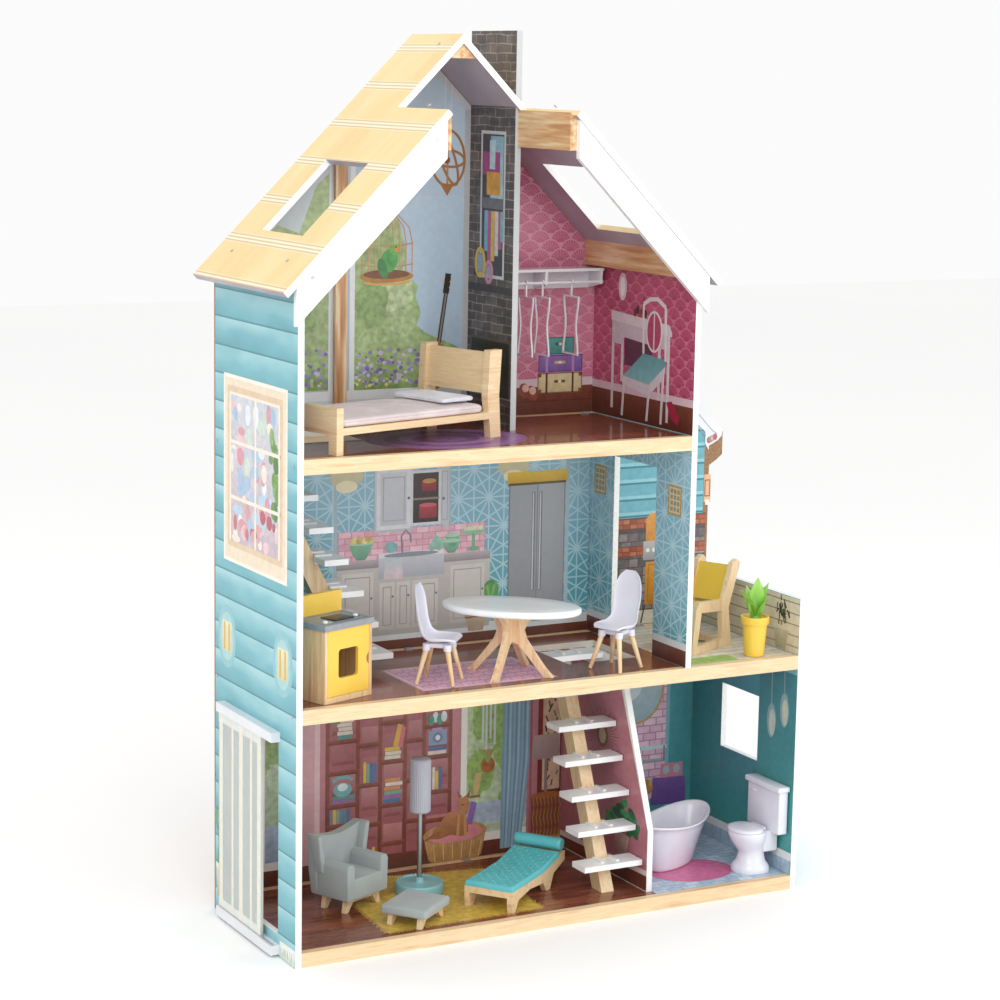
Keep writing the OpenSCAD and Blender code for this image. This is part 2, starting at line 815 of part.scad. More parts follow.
module armchair_body() {
    w = 84;
    d = 70;
    arm = 14;
    color("silver") stand(armchair_at[0], armchair_at[1], armchair_at[2], armchair_at[3])
        translate([-w / 2, 0, 19]) {
        cube([w, d, 28]);
        for (x = [0, w - arm]) translate([x, 0, 28 - eps]) cube([arm, d - 6, 24]);
        along_y([
            [-4, 34], [-14, 90], [2, 87], [w / 2, 79], [w - 2, 87], [w + 14, 90], [w + 4, 34], [w, 0],
            [0, 0]
        ], d - 14, d);
    }
}

ottoman_at = [206, 58, 0, 37];
ottoman_w = 78;
ottoman_d = 68;

module ottoman_cushion() {
    color("silver") stand(ottoman_at[0], ottoman_at[1], ottoman_at[2], ottoman_at[3])
        translate([-ottoman_w / 2, -ottoman_d / 2, 16]) linear_extrude(12)
            round_rect(ottoman_w, ottoman_d, 4);
}

module ottoman_legs() {
    color("burlywood") stand(ottoman_at[0], ottoman_at[1], ottoman_at[2], ottoman_at[3])
        leg_rails(ottoman_w - 14, [8 - ottoman_d / 2, ottoman_d / 2 - 15], 16);
}

lamp_at = [266, 166];
lamp_base_t = 16;
shade_h = 78;

module lamp_base() {
    color("lightblue") stand(lamp_at[0], lamp_at[1], 0, 0) {
        cylinder(h = lamp_base_t, r = lamp_r);
        translate([0, 0, lamp_base_t - eps]) cylinder(h = 6, r = 6);
    }
}

module lamp_pole() {
    color("silver") stand(lamp_at[0], lamp_at[1], 0, 0)
        translate([0, 0, lamp_base_t + 6]) cylinder(h = lamp_h - shade_h - lamp_base_t - 6, r = 3.6);
}

module lamp_shade() {
    color("lightgray") stand(lamp_at[0], lamp_at[1], 0, 0)
        translate([0, 0, lamp_h - shade_h]) cylinder(h = shade_h, r = 15);
}

// ---- chaise longue ----

chaise_at = [338, 22, 0, 36];
chaise_w = 74;
chaise_l = 178;
chaise_deck = 30;

// top line of the frame along its length
function chaise_top(x) = x < 104 ? chaise_deck : chaise_deck + (x - 104) * 0.18;

module chaise_frame() {
    color("burlywood") stand(chaise_at[0], chaise_at[1], chaise_at[2], chaise_at[3]) {
        for (y = [0, chaise_w - 8]) along_y([
            [2, 0], [12, 0], [22, 14], [60, 19], [104, 15], [116, 0], [128, 0], [140, 20],
            [chaise_l, chaise_top(chaise_l) - 13], [chaise_l, chaise_top(chaise_l)], [104, chaise_deck],
            [0, chaise_deck], [0, 14]
        ], y, y + 8);
        along_y([
            [0, 21], [104, 21], [chaise_l, chaise_top(chaise_l) - 9], [chaise_l, chaise_top(chaise_l)],
            [104, chaise_deck], [0, chaise_deck]
        ], 8 - eps, chaise_w - 8 + eps);
    }
}

module chaise_pad() {
    t = 8;
    color("turquoise") stand(chaise_at[0], chaise_at[1], chaise_at[2], chaise_at[3]) {
        along_y([
            [1, chaise_deck], [104, chaise_deck], [chaise_l - 1, chaise_top(chaise_l - 1)],
            [chaise_l - 1, chaise_top(chaise_l - 1) + t], [104, chaise_deck + t], [1, chaise_deck + t]
        ], 1, chaise_w - 1);
        translate([chaise_l - 9, 0, chaise_top(chaise_l - 9) + t + 6]) rotate([-90, 0, 0])
            cylinder(h = chaise_w, r = 8.5);
    }
}

// ---- bathroom ----

toilet_wall_gap = 2;
toilet_at = [house_w - wall_t - toilet_wall_gap, 50, 0, 180];
toilet_seat_z = 62;

// a bowl faces local +X: straight at the back, widest near the middle, narrower at the nose
module egg(l, w) {
    back = 0.45;
    turn = 126;
    polygon([for (k = [0:30]) let (t = turn * (k / 15 - 1))
        [l * (back + (abs(t) < 90 ? 1 - back : -back / cos(turn)) * cos(t)), w / 2 * sin(t)]]);
}

module toilet_body() {
    tank_w = 88;
    color("white") stand(toilet_at[0], toilet_at[1], toilet_at[2], toilet_at[3]) {
        translate([0, -tank_w / 2 + 3, toilet_seat_z - eps]) cube([16, tank_w - 6, 62 + 2 * eps]);
        translate([-1, -tank_w / 2, toilet_seat_z + 62]) cube([21, tank_w, 8]);
        translate([20, 0, 36]) linear_extrude(toilet_seat_z - 36) egg(50, 60);
        translate([16, 0, 12]) linear_extrude(24 + eps) egg(38, 36);
        translate([8, 0, 0]) linear_extrude(12 + eps) egg(56, 54);
        translate([0, -20, 36]) cube([24, 40, toilet_seat_z - 36]);
    }
}

// the lid turns about a round bar at its back
toilet_hinge = 22;
lid_t = 5;

module toilet_lid() {
    bar_l = 34;
    color("white") stand(toilet_at[0], toilet_at[1], toilet_at[2], toilet_at[3])
        translate([toilet_hinge, 0, toilet_seat_z + gap]) {
            linear_extrude(lid_t) egg(49, 59);
            translate([0, bar_l / 2, lid_t / 2]) rotate([90, 0, 0]) cylinder(h = bar_l, r = lid_t / 2);
        }
}

tub_at = [662, 124, 0, 28];
tub_wall = 4;

function tub_ring(l, w) = [for (k = [0:35]) [l / 2 * cos(k * 10), w / 2 * sin(k * 10)]];

module tub_shape(l0, w0, l1, w1, z0, z1) {
    hull() {
        translate([0, 0, z0]) linear_extrude(0.5) polygon(tub_ring(l0, w0));
        translate([0, 0, z1 - 0.5]) linear_extrude(0.5) polygon(tub_ring(l1, w1));
    }
}

module bathtub() {
    base_l = tub_l * 0.62;
    base_w = tub_w * 0.52;
    color("white") stand(tub_at[0], tub_at[1], tub_at[2], tub_at[3]) difference() {
        union() {
            tub_shape(base_l, base_w, tub_l - 6, tub_w - 6, 0, tub_h);
            translate([0, 0, tub_h - 4]) linear_extrude(4) polygon(tub_ring(tub_l, tub_w));
        }
        tub_shape(base_l - 2 * tub_wall, base_w - 2 * tub_wall,
            tub_l - 6 - 2 * tub_wall, tub_w - 6 - 2 * tub_wall, 7, tub_h + 0.6);
    }
}

// ---- balcony ----

lounge_at = [643, 56, 1, 26.5];
lounge_w = 66;

module lounge_frame() {
    color("burlywood") stand(lounge_at[0], lounge_at[1], lounge_at[2], lounge_at[3]) {
        for (y = [0, lounge_w - 8]) difference() {
            along_y([
                [0, 0], [116, 0], [112, 14], [104, 56], [134, 118], [125, 125], [112, 120], [90, 70],
                [20, 76], [12, 67]
            ], y, y + 8);
            along_y([[17, 12], [90, 12], [84, 54], [27, 60]], y - 1, y + 9);
        }
        for (x = [6, 98]) translate([x, 7.9, 2]) cube([9, lounge_w - 15.8, 8]);
    }
}

module lounge_panels() {
    color("gold") stand(lounge_at[0], lounge_at[1], lounge_at[2], lounge_at[3]) {
        translate([18, 8 + eps, 62]) rotate([0, 4, 0]) cube([68, lounge_w - 16 - 2 * eps, 6]);
        translate([93, 8 + eps, 66]) rotate([0, 25, 0]) cube([6, lounge_w - 16 - 2 * eps, 56]);
    }
}

plant_at = [733, 29];
pot_h = 58;

module plant_pot() {
    color("gold") stand(plant_at[0], plant_at[1], 1, 0) rotate_extrude() polygon([
        [0, 0], [14, 0], [18, pot_h - 11], [20, pot_h - 11], [20.5, pot_h],
        [17.5, pot_h], [17, pot_h - 4], [0, pot_h - 4]
    ]);
}

module plant_leaves() {
    leaf = [[0, 0], [4, 8], [7, 22], [7.5, 34], [5, 46], [0, 55]];
    outline = concat(leaf, [for (k = [len(leaf) - 2:-1:1]) [-leaf[k][0], leaf[k][1]]]);
    color("limegreen") stand(plant_at[0], plant_at[1], 1, 0) translate([0, 0, pot_h - 4]) {
        cylinder(h = 6, r = 8);
        for (a = [[190, 32], [130, 14], [20, 8], [300, 18], [70, 26]])
            rotate([0, 0, a[0]]) translate([3, 0, 2.5]) rotate([0, a[1], 0]) rotate([90, 0, 90])
                linear_extrude(1.6) polygon(outline);
    }
}

left_wall();
upper_right_wall();
lower_right_wall();
ground_floor();
kitchen_floor();
attic_floor();
front_rails();
back_rails();
ground_back_panel();
kitchen_back_panel();
attic_back_panel();
chimney_partition();
bathroom_partition();
roof_left_panel();
roof_right_panel();
roof_cleats();
left_bargeboard();
right_bargeboard();
attic_batten();
lower_stair_stringer();
lower_stair_treads();
upper_stair_stringer();
upper_stair_treads();
door_tracks();
closet_shelf();
screws();
panel_clips();
sliding_door();
hanger_a();
hanger_b();
hanger_c();
bed_frame();
mattress();
pillow();
table_top();
table_legs();
chair_a_shell();
chair_a_legs();
chair_b_shell();
chair_b_legs();
stove_cabinet();
stove_top();
stove_splashback();
stove_door();
armchair_body();
armchair_legs();
ottoman_cushion();
ottoman_legs();
lamp_base();
lamp_pole();
lamp_shade();
chaise_frame();
chaise_pad();
toilet_body();
toilet_lid();
bathtub();
lounge_frame();
lounge_panels();
plant_pot();
plant_leaves();
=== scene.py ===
# Looks of a three-storey wooden dollhouse: printed boards, pine strip, moulded furniture and soft bedding.
# The sections follow the order in which the house and its furniture are put together.
import math
import random

import bmesh
import bpy
from mathutils import Matrix, Vector


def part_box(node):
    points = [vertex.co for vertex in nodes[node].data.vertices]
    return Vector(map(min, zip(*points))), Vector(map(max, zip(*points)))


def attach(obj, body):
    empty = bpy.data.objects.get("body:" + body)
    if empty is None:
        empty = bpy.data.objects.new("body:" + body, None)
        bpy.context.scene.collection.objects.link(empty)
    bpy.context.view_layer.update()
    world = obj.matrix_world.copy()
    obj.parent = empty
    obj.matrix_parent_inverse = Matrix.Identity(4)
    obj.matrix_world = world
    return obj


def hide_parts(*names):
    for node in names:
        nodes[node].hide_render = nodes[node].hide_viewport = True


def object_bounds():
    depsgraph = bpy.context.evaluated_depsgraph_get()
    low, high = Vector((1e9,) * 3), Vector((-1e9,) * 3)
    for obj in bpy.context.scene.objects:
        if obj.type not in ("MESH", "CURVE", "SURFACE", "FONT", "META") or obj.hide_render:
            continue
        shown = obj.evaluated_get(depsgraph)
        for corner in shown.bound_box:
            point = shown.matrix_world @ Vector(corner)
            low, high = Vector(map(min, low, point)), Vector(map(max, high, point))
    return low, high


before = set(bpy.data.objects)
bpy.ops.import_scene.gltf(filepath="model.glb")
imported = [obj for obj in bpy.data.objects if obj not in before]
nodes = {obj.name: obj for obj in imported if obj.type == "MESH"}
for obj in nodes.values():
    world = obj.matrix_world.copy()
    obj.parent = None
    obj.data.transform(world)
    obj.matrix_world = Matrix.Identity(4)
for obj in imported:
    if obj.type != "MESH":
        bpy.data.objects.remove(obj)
cad_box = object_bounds()


# ---- Side walls ----
# Boards with a white painted edge and a glossy printed face. The left wall's outside shows teal
# clapboard with a cream window, two lamps and a potted cactus. The walls stand on the ground and
# hold the floors and the rails; all places are given from the left wall's front bottom corner.
corner = Vector(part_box("left_wall")[0])


def at(x, y, z):
    """A place in the house, in millimetres from the left wall's outer front bottom corner."""
    return corner + Vector((x, y, z)) / 1000


def ink(code):
    """The colour of an ink or a paint, from its usual six-digit code."""
    parts = [int(code[k : k + 2], 16) / 255 for k in (0, 2, 4)]
    return tuple(c / 12.92 if c < 0.0405 else ((c + 0.055) / 1.055) ** 2.4 for c in parts) + (1.0,)


class Finish:
    """A principled surface whose colour, gloss and relief are worked out in the object's own frame."""

    def __init__(self, name, rough=0.5, coat=0.0, sheen=0.0, metal=0.0, see_through=0.0):
        self.mat = bpy.data.materials.new(name)
        self.mat.use_nodes = True
        self.tree = self.mat.node_tree
        self.shader = self.tree.nodes["Principled BSDF"]
        self.shader.inputs["Roughness"].default_value = rough
        self.shader.inputs["Coat Weight"].default_value = coat
        self.shader.inputs["Sheen Weight"].default_value = sheen
        self.shader.inputs["Metallic"].default_value = metal
        self.shader.inputs["Transmission Weight"].default_value = see_through
        here = self.tree.nodes.new("ShaderNodeTexCoord")
        self.place = here.outputs["Object"]
        self.facing = here.outputs["Normal"]

    def put(self, socket, value):
        if isinstance(value, bpy.types.NodeSocket):
            self.tree.links.new(value, socket)
        elif value is not None:
            socket.default_value = value

    def calc(self, operation, a, b=None, c=None):
        node = self.tree.nodes.new("ShaderNodeMath")
        node.operation = operation
        for k, value in enumerate((a, b, c)):
            self.put(node.inputs[k], value)
        return node.outputs[0]

    def parts(self, vector=None):
        node = self.tree.nodes.new("ShaderNodeSeparateXYZ")
        self.put(node.inputs[0], vector or self.place)
        return node.outputs

    def join(self, x, y, z=0.0):
        node = self.tree.nodes.new("ShaderNodeCombineXYZ")
        for k, value in enumerate((x, y, z)):
            self.put(node.inputs[k], value)
        return node.outputs[0]

    def noise(self, scale, stretch=(1, 1, 1), detail=2.0, vector=None):
        spread = self.tree.nodes.new("ShaderNodeMapping")
        spread.inputs["Scale"].default_value = stretch
        self.put(spread.inputs["Vector"], vector or self.place)
        node = self.tree.nodes.new("ShaderNodeTexNoise")
        node.inputs["Scale"].default_value = scale
        node.inputs["Detail"].default_value = detail
        self.put(node.inputs["Vector"], spread.outputs[0])
        return node.outputs["Fac"]

    def mix(self, share, a, b):
        node = self.tree.nodes.new("ShaderNodeMix")
        node.data_type = "RGBA"
        self.put(node.inputs[0], share)
        self.put(node.inputs[6], a)
        self.put(node.inputs[7], b)
        return node.outputs[2]

    def steps(self, value, stops):
        node = self.tree.nodes.new("ShaderNodeValToRGB")
        ramp = node.color_ramp
        while len(ramp.elements) < len(stops):
            ramp.elements.new(0.5)
        for element, (place, colour) in zip(ramp.elements, stops):
            element.position = place
            element.color = colour
        self.put(node.inputs[0], value)
        return node.outputs[0]

    def band(self, value, low, high):
        """0 below low, 1 above high, and a smooth rise between them."""
        node = self.tree.nodes.new("ShaderNodeMapRange")
        node.interpolation_type = "SMOOTHSTEP"
        node.inputs["From Min"].default_value = low
        node.inputs["From Max"].default_value = high
        self.put(node.inputs["Value"], value)
        return node.outputs[0]

    def bricks(self, u, v, length, height, joint, colours, offset=0.5):
        node = self.tree.nodes.new("ShaderNodeTexBrick")
        node.offset = offset
        node.inputs["Scale"].default_value = 1.0
        node.inputs["Brick Width"].default_value = length
        node.inputs["Row Height"].default_value = height
        node.inputs["Mortar Size"].default_value = joint
        node.inputs["Mortar Smooth"].default_value = 0.1
        for name, colour in zip(("Color1", "Color2", "Mortar"), colours):
            node.inputs[name].default_value = colour
        self.put(node.inputs["Vector"], self.join(u, v))
        return node.outputs["Color"], node.outputs["Fac"]

    def relief(self, height, depth):
        node = self.tree.nodes.new("ShaderNodeBump")
        node.inputs["Strength"].default_value = 0.6
        node.inputs["Distance"].default_value = depth
        self.put(node.inputs["Height"], height)
        self.tree.links.new(node.outputs[0], self.shader.inputs["Normal"])

    def colour(self, value):
        self.put(self.shader.inputs["Base Color"], value)

    def gloss(self, value):
        self.put(self.shader.inputs["Roughness"], value)


def dress(finish, *names):
    """Gives a finish to CAD nodes."""
    for name in names:
        mesh = nodes[name].data
        if not mesh.materials:
            mesh.materials.append(finish.mat)
        for k in range(len(mesh.materials)):
            mesh.materials[k] = finish.mat


def lap_siding(f, height, pitch=0.0385):
    """Printed lap siding: a dark line under each board and a paler band below it."""
    row = f.calc("FRACT", f.calc("DIVIDE", height, pitch))
    cloud = f.noise(9, (1, 1, 3))
    tone = f.steps(f.calc("ADD", f.calc("MULTIPLY", row, 0.45), f.calc("MULTIPLY", cloud, 0.62)), [
        (0.25, ink("5fa4b0")), (0.5, ink("74b7c2")), (0.78, ink("a3d3d9")),
    ])
    line = f.calc("SUBTRACT", 1.0, f.band(row, 0.02, 0.1))
    return f.mix(f.calc("MULTIPLY", line, 0.75), tone, ink("2f7582"))


white_board = Finish("white_painted_board", rough=0.42, coat=0.1)
grain = white_board.noise(260, (1, 1, 1), 3)
white_board.colour(white_board.steps(grain, [(0.3, ink("e6e7e6")), (0.7, ink("f3f3f1"))]))
white_board.relief(grain, 0.00008)

wall_board = Finish("side_wall_board", rough=0.4, coat=0.12)
x, y, z = wall_board.parts()
nx = wall_board.parts(wall_board.facing)[0]
siding = lap_siding(wall_board, wall_board.calc("ADD", z, 0.006))
edge = wall_board.steps(wall_board.noise(260), [(0.3, ink("e4e6e5")), (0.7, ink("f2f3f1"))])
outer_side = wall_board.band(wall_board.calc("ABSOLUTE", nx), 0.8, 0.9)
wall_board.colour(wall_board.mix(outer_side, edge, siding))
wall_board.relief(wall_board.noise(300), 0.00006)
dress(wall_board, "left_wall", "upper_right_wall", "lower_right_wall")

printed_ink = Finish("printed_ink", rough=0.4, coat=0.12)
dots = printed_ink.tree.nodes.new("ShaderNodeAttribute")
dots.attribute_name = "ink"
speck = printed_ink.calc("SUBTRACT", printed_ink.noise(110, (1, 1, 1), 3), 0.5)
wash = printed_ink.calc("MULTIPLY_ADD", printed_ink.calc("MULTIPLY", speck, dots.outputs["Alpha"]), 2.4, 1.0)
tinted = printed_ink.tree.nodes.new("ShaderNodeVectorMath")
tinted.operation = "SCALE"
printed_ink.put(tinted.inputs[0], dots.outputs["Color"])
printed_ink.put(tinted.inputs["Scale"], wash)
printed_ink.colour(tinted.outputs[0])


class Print:
    """A printed picture on a board: flat closed shapes of ink, each level a little prouder than the last.

    place(u, v, h) gives a point on the board, h millimetres proud of it."""

    def __init__(self, name, place, finish=None, level_t=0.07):
        self.name, self.place, self.level_t = name, place, level_t
        self.finish = finish or printed_ink
        self.points, self.faces, self.inks = [], [], []

    def shape(self, outline, colour, level=1, mottle=0.12, low=None):
        """One closed shape. low is a second colour, that the first runs into towards the bottom."""
        top = (level + 1 + len(self.faces) % 161 / 170) * self.level_t
        first, n = len(self.points), len(outline)
        for h in (0.02, top):
            self.points += [self.place(u, v, h) for u, v in outline]
        self.faces.append([first + k for k in range(n)])
        self.faces.append([first + n + k for k in range(n - 1, -1, -1)])
        for k in range(n):
            m = (k + 1) % n
            self.faces.append([first + k, first + n + k, first + n + m, first + m])
        one, two = ink(colour), ink(low or colour)
        v0 = min(p[1] for p in outline)
        v1 = max(p[1] for p in outline)
        for _ in (0, 1):
            for u, v in outline:
                t = (v - v0) / max(v1 - v0, 0.001)
                self.inks.append(tuple(two[c] + (one[c] - two[c]) * t for c in range(3)) + (mottle,))

    def rect(self, u0, v0, u1, v1, colour, level=1, mottle=0.12, low=None):
        self.shape([(u0, v0), (u1, v0), (u1, v1), (u0, v1)], colour, level, mottle, low)

    def disc(self, u, v, ru, rv, colour, level=1, mottle=0.12, low=None, n=28, turn=0.0):
        c, s = math.cos(turn), math.sin(turn)
        ring = [(ru * math.cos(k * math.tau / n), rv * math.sin(k * math.tau / n)) for k in range(n)]
        self.shape([(u + a * c - b * s, v + a * s + b * c) for a, b in ring], colour, level, mottle, low)

    def stroke(self, route, width, colour, level=2, mottle=0.05):
        """A line of one width along a route."""
        left, right = [], []
        for k, (u, v) in enumerate(route):
            a = route[max(k - 1, 0)]
            b = route[min(k + 1, len(route) - 1)]
            du, dv = b[0] - a[0], b[1] - a[1]
            size = math.hypot(du, dv) or 1.0
            off = (-dv / size * width / 2, du / size * width / 2)
            left.append((u + off[0], v + off[1]))
            right.append((u - off[0], v - off[1]))
        self.shape(left + right[::-1], colour, level, mottle)

    def frame(self, u0, v0, u1, v1, width, colour, level=2):
        self.rect(u0, v0, u0 + width, v1, colour, level)
        self.rect(u1 - width, v0, u1, v1, colour, level)
        self.rect(u0 + width, v0, u1 - width, v0 + width, colour, level)
        self.rect(u0 + width, v1 - width, u1 - width, v1, colour, level)

    def bush(self, u, v, ru, rv, colour, level=1, seed=1, mottle=0.55, low=None):
        """A leafy mass with an uneven edge."""
        r = random.Random(seed)
        n = 46
        ring = []
        for k in range(n):
            t = k * math.tau / n
            wave = 1 + 0.06 * math.sin(5 * t + seed) + r.uniform(-0.07, 0.07)
            ring.append((u + ru * wave * math.cos(t), v + rv * wave * math.sin(t)))
        self.shape(ring, colour, level, mottle, low)

    def spots(self, u0, v0, u1, v1, count, size, colours, level=3, seed=1):
        r = random.Random(seed)
        for _ in range(count):
            d = size * r.uniform(0.6, 1.3)
            self.disc(r.uniform(u0, u1), r.uniform(v0, v1), d, d * 0.9, r.choice(colours), level, n=7)

    def done(self, slot="print_board", body="house"):
        mesh = bpy.data.meshes.new(self.name)
        mesh.from_pydata(self.points, [], self.faces)
        layer = mesh.color_attributes.new("ink", "FLOAT_COLOR", "POINT")
        for k, colour in enumerate(self.inks):
            layer.data[k].color = colour
        piece = bpy.data.objects.new(self.name, mesh)
        bpy.context.scene.collection.objects.link(piece)
        shell = bmesh.new()
        shell.from_mesh(mesh)
        bmesh.ops.recalc_face_normals(shell, faces=shell.faces)
        shell.to_mesh(mesh)
        shell.free()
        mesh.materials.append(self.finish.mat)
        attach(piece, body)
        return piece


# the outside of the left wall: a cream window with a soft view, two wall lamps and a cactus
p = Print("left_outside_window_print", lambda u, v, h: at(-h, u, v))
p.rect(31, 510, 245, 767, "f1dfc6", 1)
p.frame(31, 510, 245, 767, 5, "fbf1e2", 2)
p.frame(46, 532, 231, 752, 9, "e2c9a8", 2)
p.rect(54, 540, 223, 742, "cfd3da", 3, 0.25, low="c9b7bf")
r = random.Random(5)
for k in range(70):
    u, v = r.uniform(60, 217), r.uniform(545, 737)
    tone = r.choice(["e6eef4", "bcd3e6", "e8c6cc", "f4e4d8", "aac4dd", "d99aa2", "cddccf"])
    p.disc(
        u, v, min(r.uniform(5, 15), u - 54, 223 - u), min(r.uniform(5, 16), v - 540, 742 - v), tone,
        4 + k % 3, 0.2, n=16
    )
for k in range(16):
    u, v = r.uniform(62, 84), r.uniform(600, 700)
    p.disc(u, v, 7, r.uniform(7, 14), r.choice(["6f9a4d", "8db36a", "4f8242"]), 7, 0.4, n=12)
for k in range(12):
    p.disc(
        r.uniform(70, 210), r.uniform(553, 590), r.uniform(5, 11), r.uniform(5, 11),
        r.choice(["c8737a", "b9606c", "e2a7a6"]), 7, 0.2, n=12
    )
for u in (54, 133, 219):
    p.rect(u, 540, u + 5, 742, "f6ead9", 8)
for v in (598, 674):
    p.rect(54, v, 223, v + 5, "f6ead9", 8)
p.stroke([(54, 742), (223, 742)], 4, "f6ead9", 8)
p.done()

p = Print("left_outside_lamps_print", lambda u, v, h: at(-h, u, v))
for u in (44, 234):
    p.disc(u, 403, 32, 44, "8fc4cc", 1, 0.1)
    p.disc(u, 403, 24, 34, "a9d2d4", 2, 0.1)
    p.rect(u - 16, 382, u + 16, 424, "e9e3c0", 3, 0.1, low="d8cf9f")
    for s in (-8, 8):
        p.rect(u + s - 2.5, 384, u + s + 2.5, 422, "d9b04d", 4)
for v in (112, 70, 140):
    p.disc(261, v, 6 if v < 100 else 4.5, 40 if v < 100 else 20, "4f8a55", 1, 0.4)
p.stroke([(267, 120), (272, 130), (271, 150)], 5, "5c9a5f", 2)
p.shape([(252, 22), (270, 22), (272, 66), (250, 66)], "dfd9b8", 3, low="b9ad86")
p.rect(249, 63, 273, 70, "eee8cb", 4)
for side in ((1, 51), (204, 249)):
    p.rect(side[0], 1, side[1], 24, "eef0ea", 1, 0.1)
    for k in range(int((side[1] - side[0]) / 2.4)):
        u = side[0] + 1.5 + k * 2.4
        p.stroke(
            [(u, 1), (u + r.uniform(-1.5, 1.5), r.uniform(9, 19))], 1.0,
            r.choice(["9db59a", "b9c8b2", "7f9c86"]), 2
        )
p.done()


# ---- Floors ----
# Fibreboard with a glossy printed pattern of narrow dark planks, held between the pine rails.
# Rugs are printed on them: purple in the attic, mauve in the kitchen, green on the balcony.
planks = Finish("printed_plank_floor", rough=0.22, coat=0.35)
x, y, z = planks.parts()
cell, gapline = planks.bricks(x, y, 0.16, 0.0155, 0.0004, (ink("8d4f39"), ink("5e2f22"), ink("4a251c")), 0.37)
streak = planks.noise(22, (1, 16, 1), 4)
fleck = planks.noise(8, (1, 3, 1), 2)
wood = planks.mix(planks.band(streak, 0.32, 0.7), cell, ink("9a5a40"))
wood = planks.mix(planks.calc("MULTIPLY", planks.band(fleck, 0.42, 0.65), 0.4), wood, ink("4d281e"))
nz = planks.parts(planks.facing)[2]
top_side = planks.band(nz, 0.7, 0.9)
planks.colour(planks.mix(top_side, ink("d9d3c8"), wood))
planks.gloss(planks.calc("MULTIPLY_ADD", streak, 0.18, 0.14))
planks.relief(planks.calc("MULTIPLY", gapline, -1.0), 0.00012)
dress(planks, "ground_floor", "kitchen_floor", "attic_floor")

rail_t = 12
floor_y = (rail_t + 0.3, 263.7)
level_z = [20, 350, 680]


def floor_print(name, level):
    z0 = level_z[level]
    return Print(name, lambda u, v, h: at(u, v, z0 + h), level_t=0.035)


p = floor_print("attic_rug_print", 2)
p.disc(268, 105, 116, 92, "8d6192", 1, 0.3, n=64)
for k in range(5):
    p.disc(
        268, 105, 108 - 20 * k, 85 - 16 * k, ["9a6d9e", "80548a", "a67aa9", "875b90", "9c70a2"][k], 2 + k,
        0.35, n=56
    )
p.done(slot="floor_print")

p = floor_print("kitchen_rug_print", 1)
p.rect(200, 31, 409, 165, "c58fae", 1, 0.25)
p.frame(203, 34, 406, 162, 5, "e3bfd2", 2)
for i in range(10):
    for k in range(6):
        u, v = 218 + i * 19.2, 47 + k * 20.6
        p.disc(u, v, 8.4, 6.6, "dcb4ca", 3, 0.2, n=12, turn=0.5 * (i % 2))
        p.disc(u, v, 4.6, 3.4, "bb84a6", 4, 0.2, n=10)
        p.stroke([(u - 7, v - 6), (u + 7, v + 6)], 0.9, "efd6e2", 5)
p.done(slot="floor_print")

p = floor_print("balcony_deck_print", 1)
p.rect(607.5, floor_y[0], 790.5, floor_y[1], "c9c2b2", 0, 0.2)
for k in range(14):
    v = floor_y[0] + 1 + k * 18
    if v + 15 < floor_y[1]:
        p.rect(608, v, 790, v + 15.4, ["d9d2c3", "cfc8b6", "e0dacd"][k % 3], 1, 0.35)
        p.stroke([(608, v + 15.8), (790, v + 15.8)], 0.9, "8f8775", 1)
p.rect(612, 14, 700, 50, "8fb355", 2, 0.5)
p.frame(612, 14, 700, 50, 2.5, "a9c873", 3)
p.done(slot="floor_print")

p = floor_print("bathroom_floor_print", 0)
p.rect(568.5, floor_y[0], 790.5, floor_y[1], "7f9aae", 0, 0.2)
for row in range(21):
    v0 = 12.6 + row * 12
    for i in range(10):
        u0 = 569 + i * 24 - (12 if row % 2 else 0)
        a, b = max(u0, 569), min(u0 + 22.9, 790)
        if b - a > 2 and v0 + 10.9 < floor_y[1]:
            p.rect(
                a, v0, b, v0 + 10.9, ["b4c9da", "a7bed2", "c3d4e2", "adc5d6"][(row * 3 + i * 5) % 4], 1, 0.3
            )
p.disc(672, 84, 66, 50, "c9618f", 2, 0.2, n=56)
p.disc(672, 84, 61, 45, "cf6d98", 3, 0.3, n=56)
p.done(slot="floor_print")

p = floor_print("living_rug_print", 0)
rug = [(149, 26), (390, 29), (400, 222), (246, 250), (158, 150)]
p.shape(rug, "cdb04c", 1, 0.5)
r = random.Random(9)
for (u0, v0), (u1, v1) in zip(rug, rug[1:] + rug[:1]):
    n = int(math.hypot(u1 - u0, v1 - v0) / 4.2)
    for k in range(n):
        t = (k + 0.5) / n
        u, v = u0 + (u1 - u0) * t, v0 + (v1 - v0) * t
        n_u, n_v = (v1 - v0), -(u1 - u0)
        size = math.hypot(n_u, n_v)
        long = r.uniform(3.5, 6)
        p.stroke(
            [(u, v), (u + n_u / size * long + r.uniform(-1, 1), v + n_v / size * long)], 1.7, "d3b758", 2, 0.3
        )
for k in range(300):
    u, v = r.uniform(158, 390), r.uniform(34, 212)
    if u > 158 + max(0, (v - 120)) * 0.9:
        p.stroke(
            [(u, v), (u + r.uniform(2, 5), v + r.uniform(-1.5, 1.5))], 1.0,
            r.choice(["dcc269", "bfa03c", "e3cd7d"]), 2, 0.2
        )
p.done(slot="floor_print")


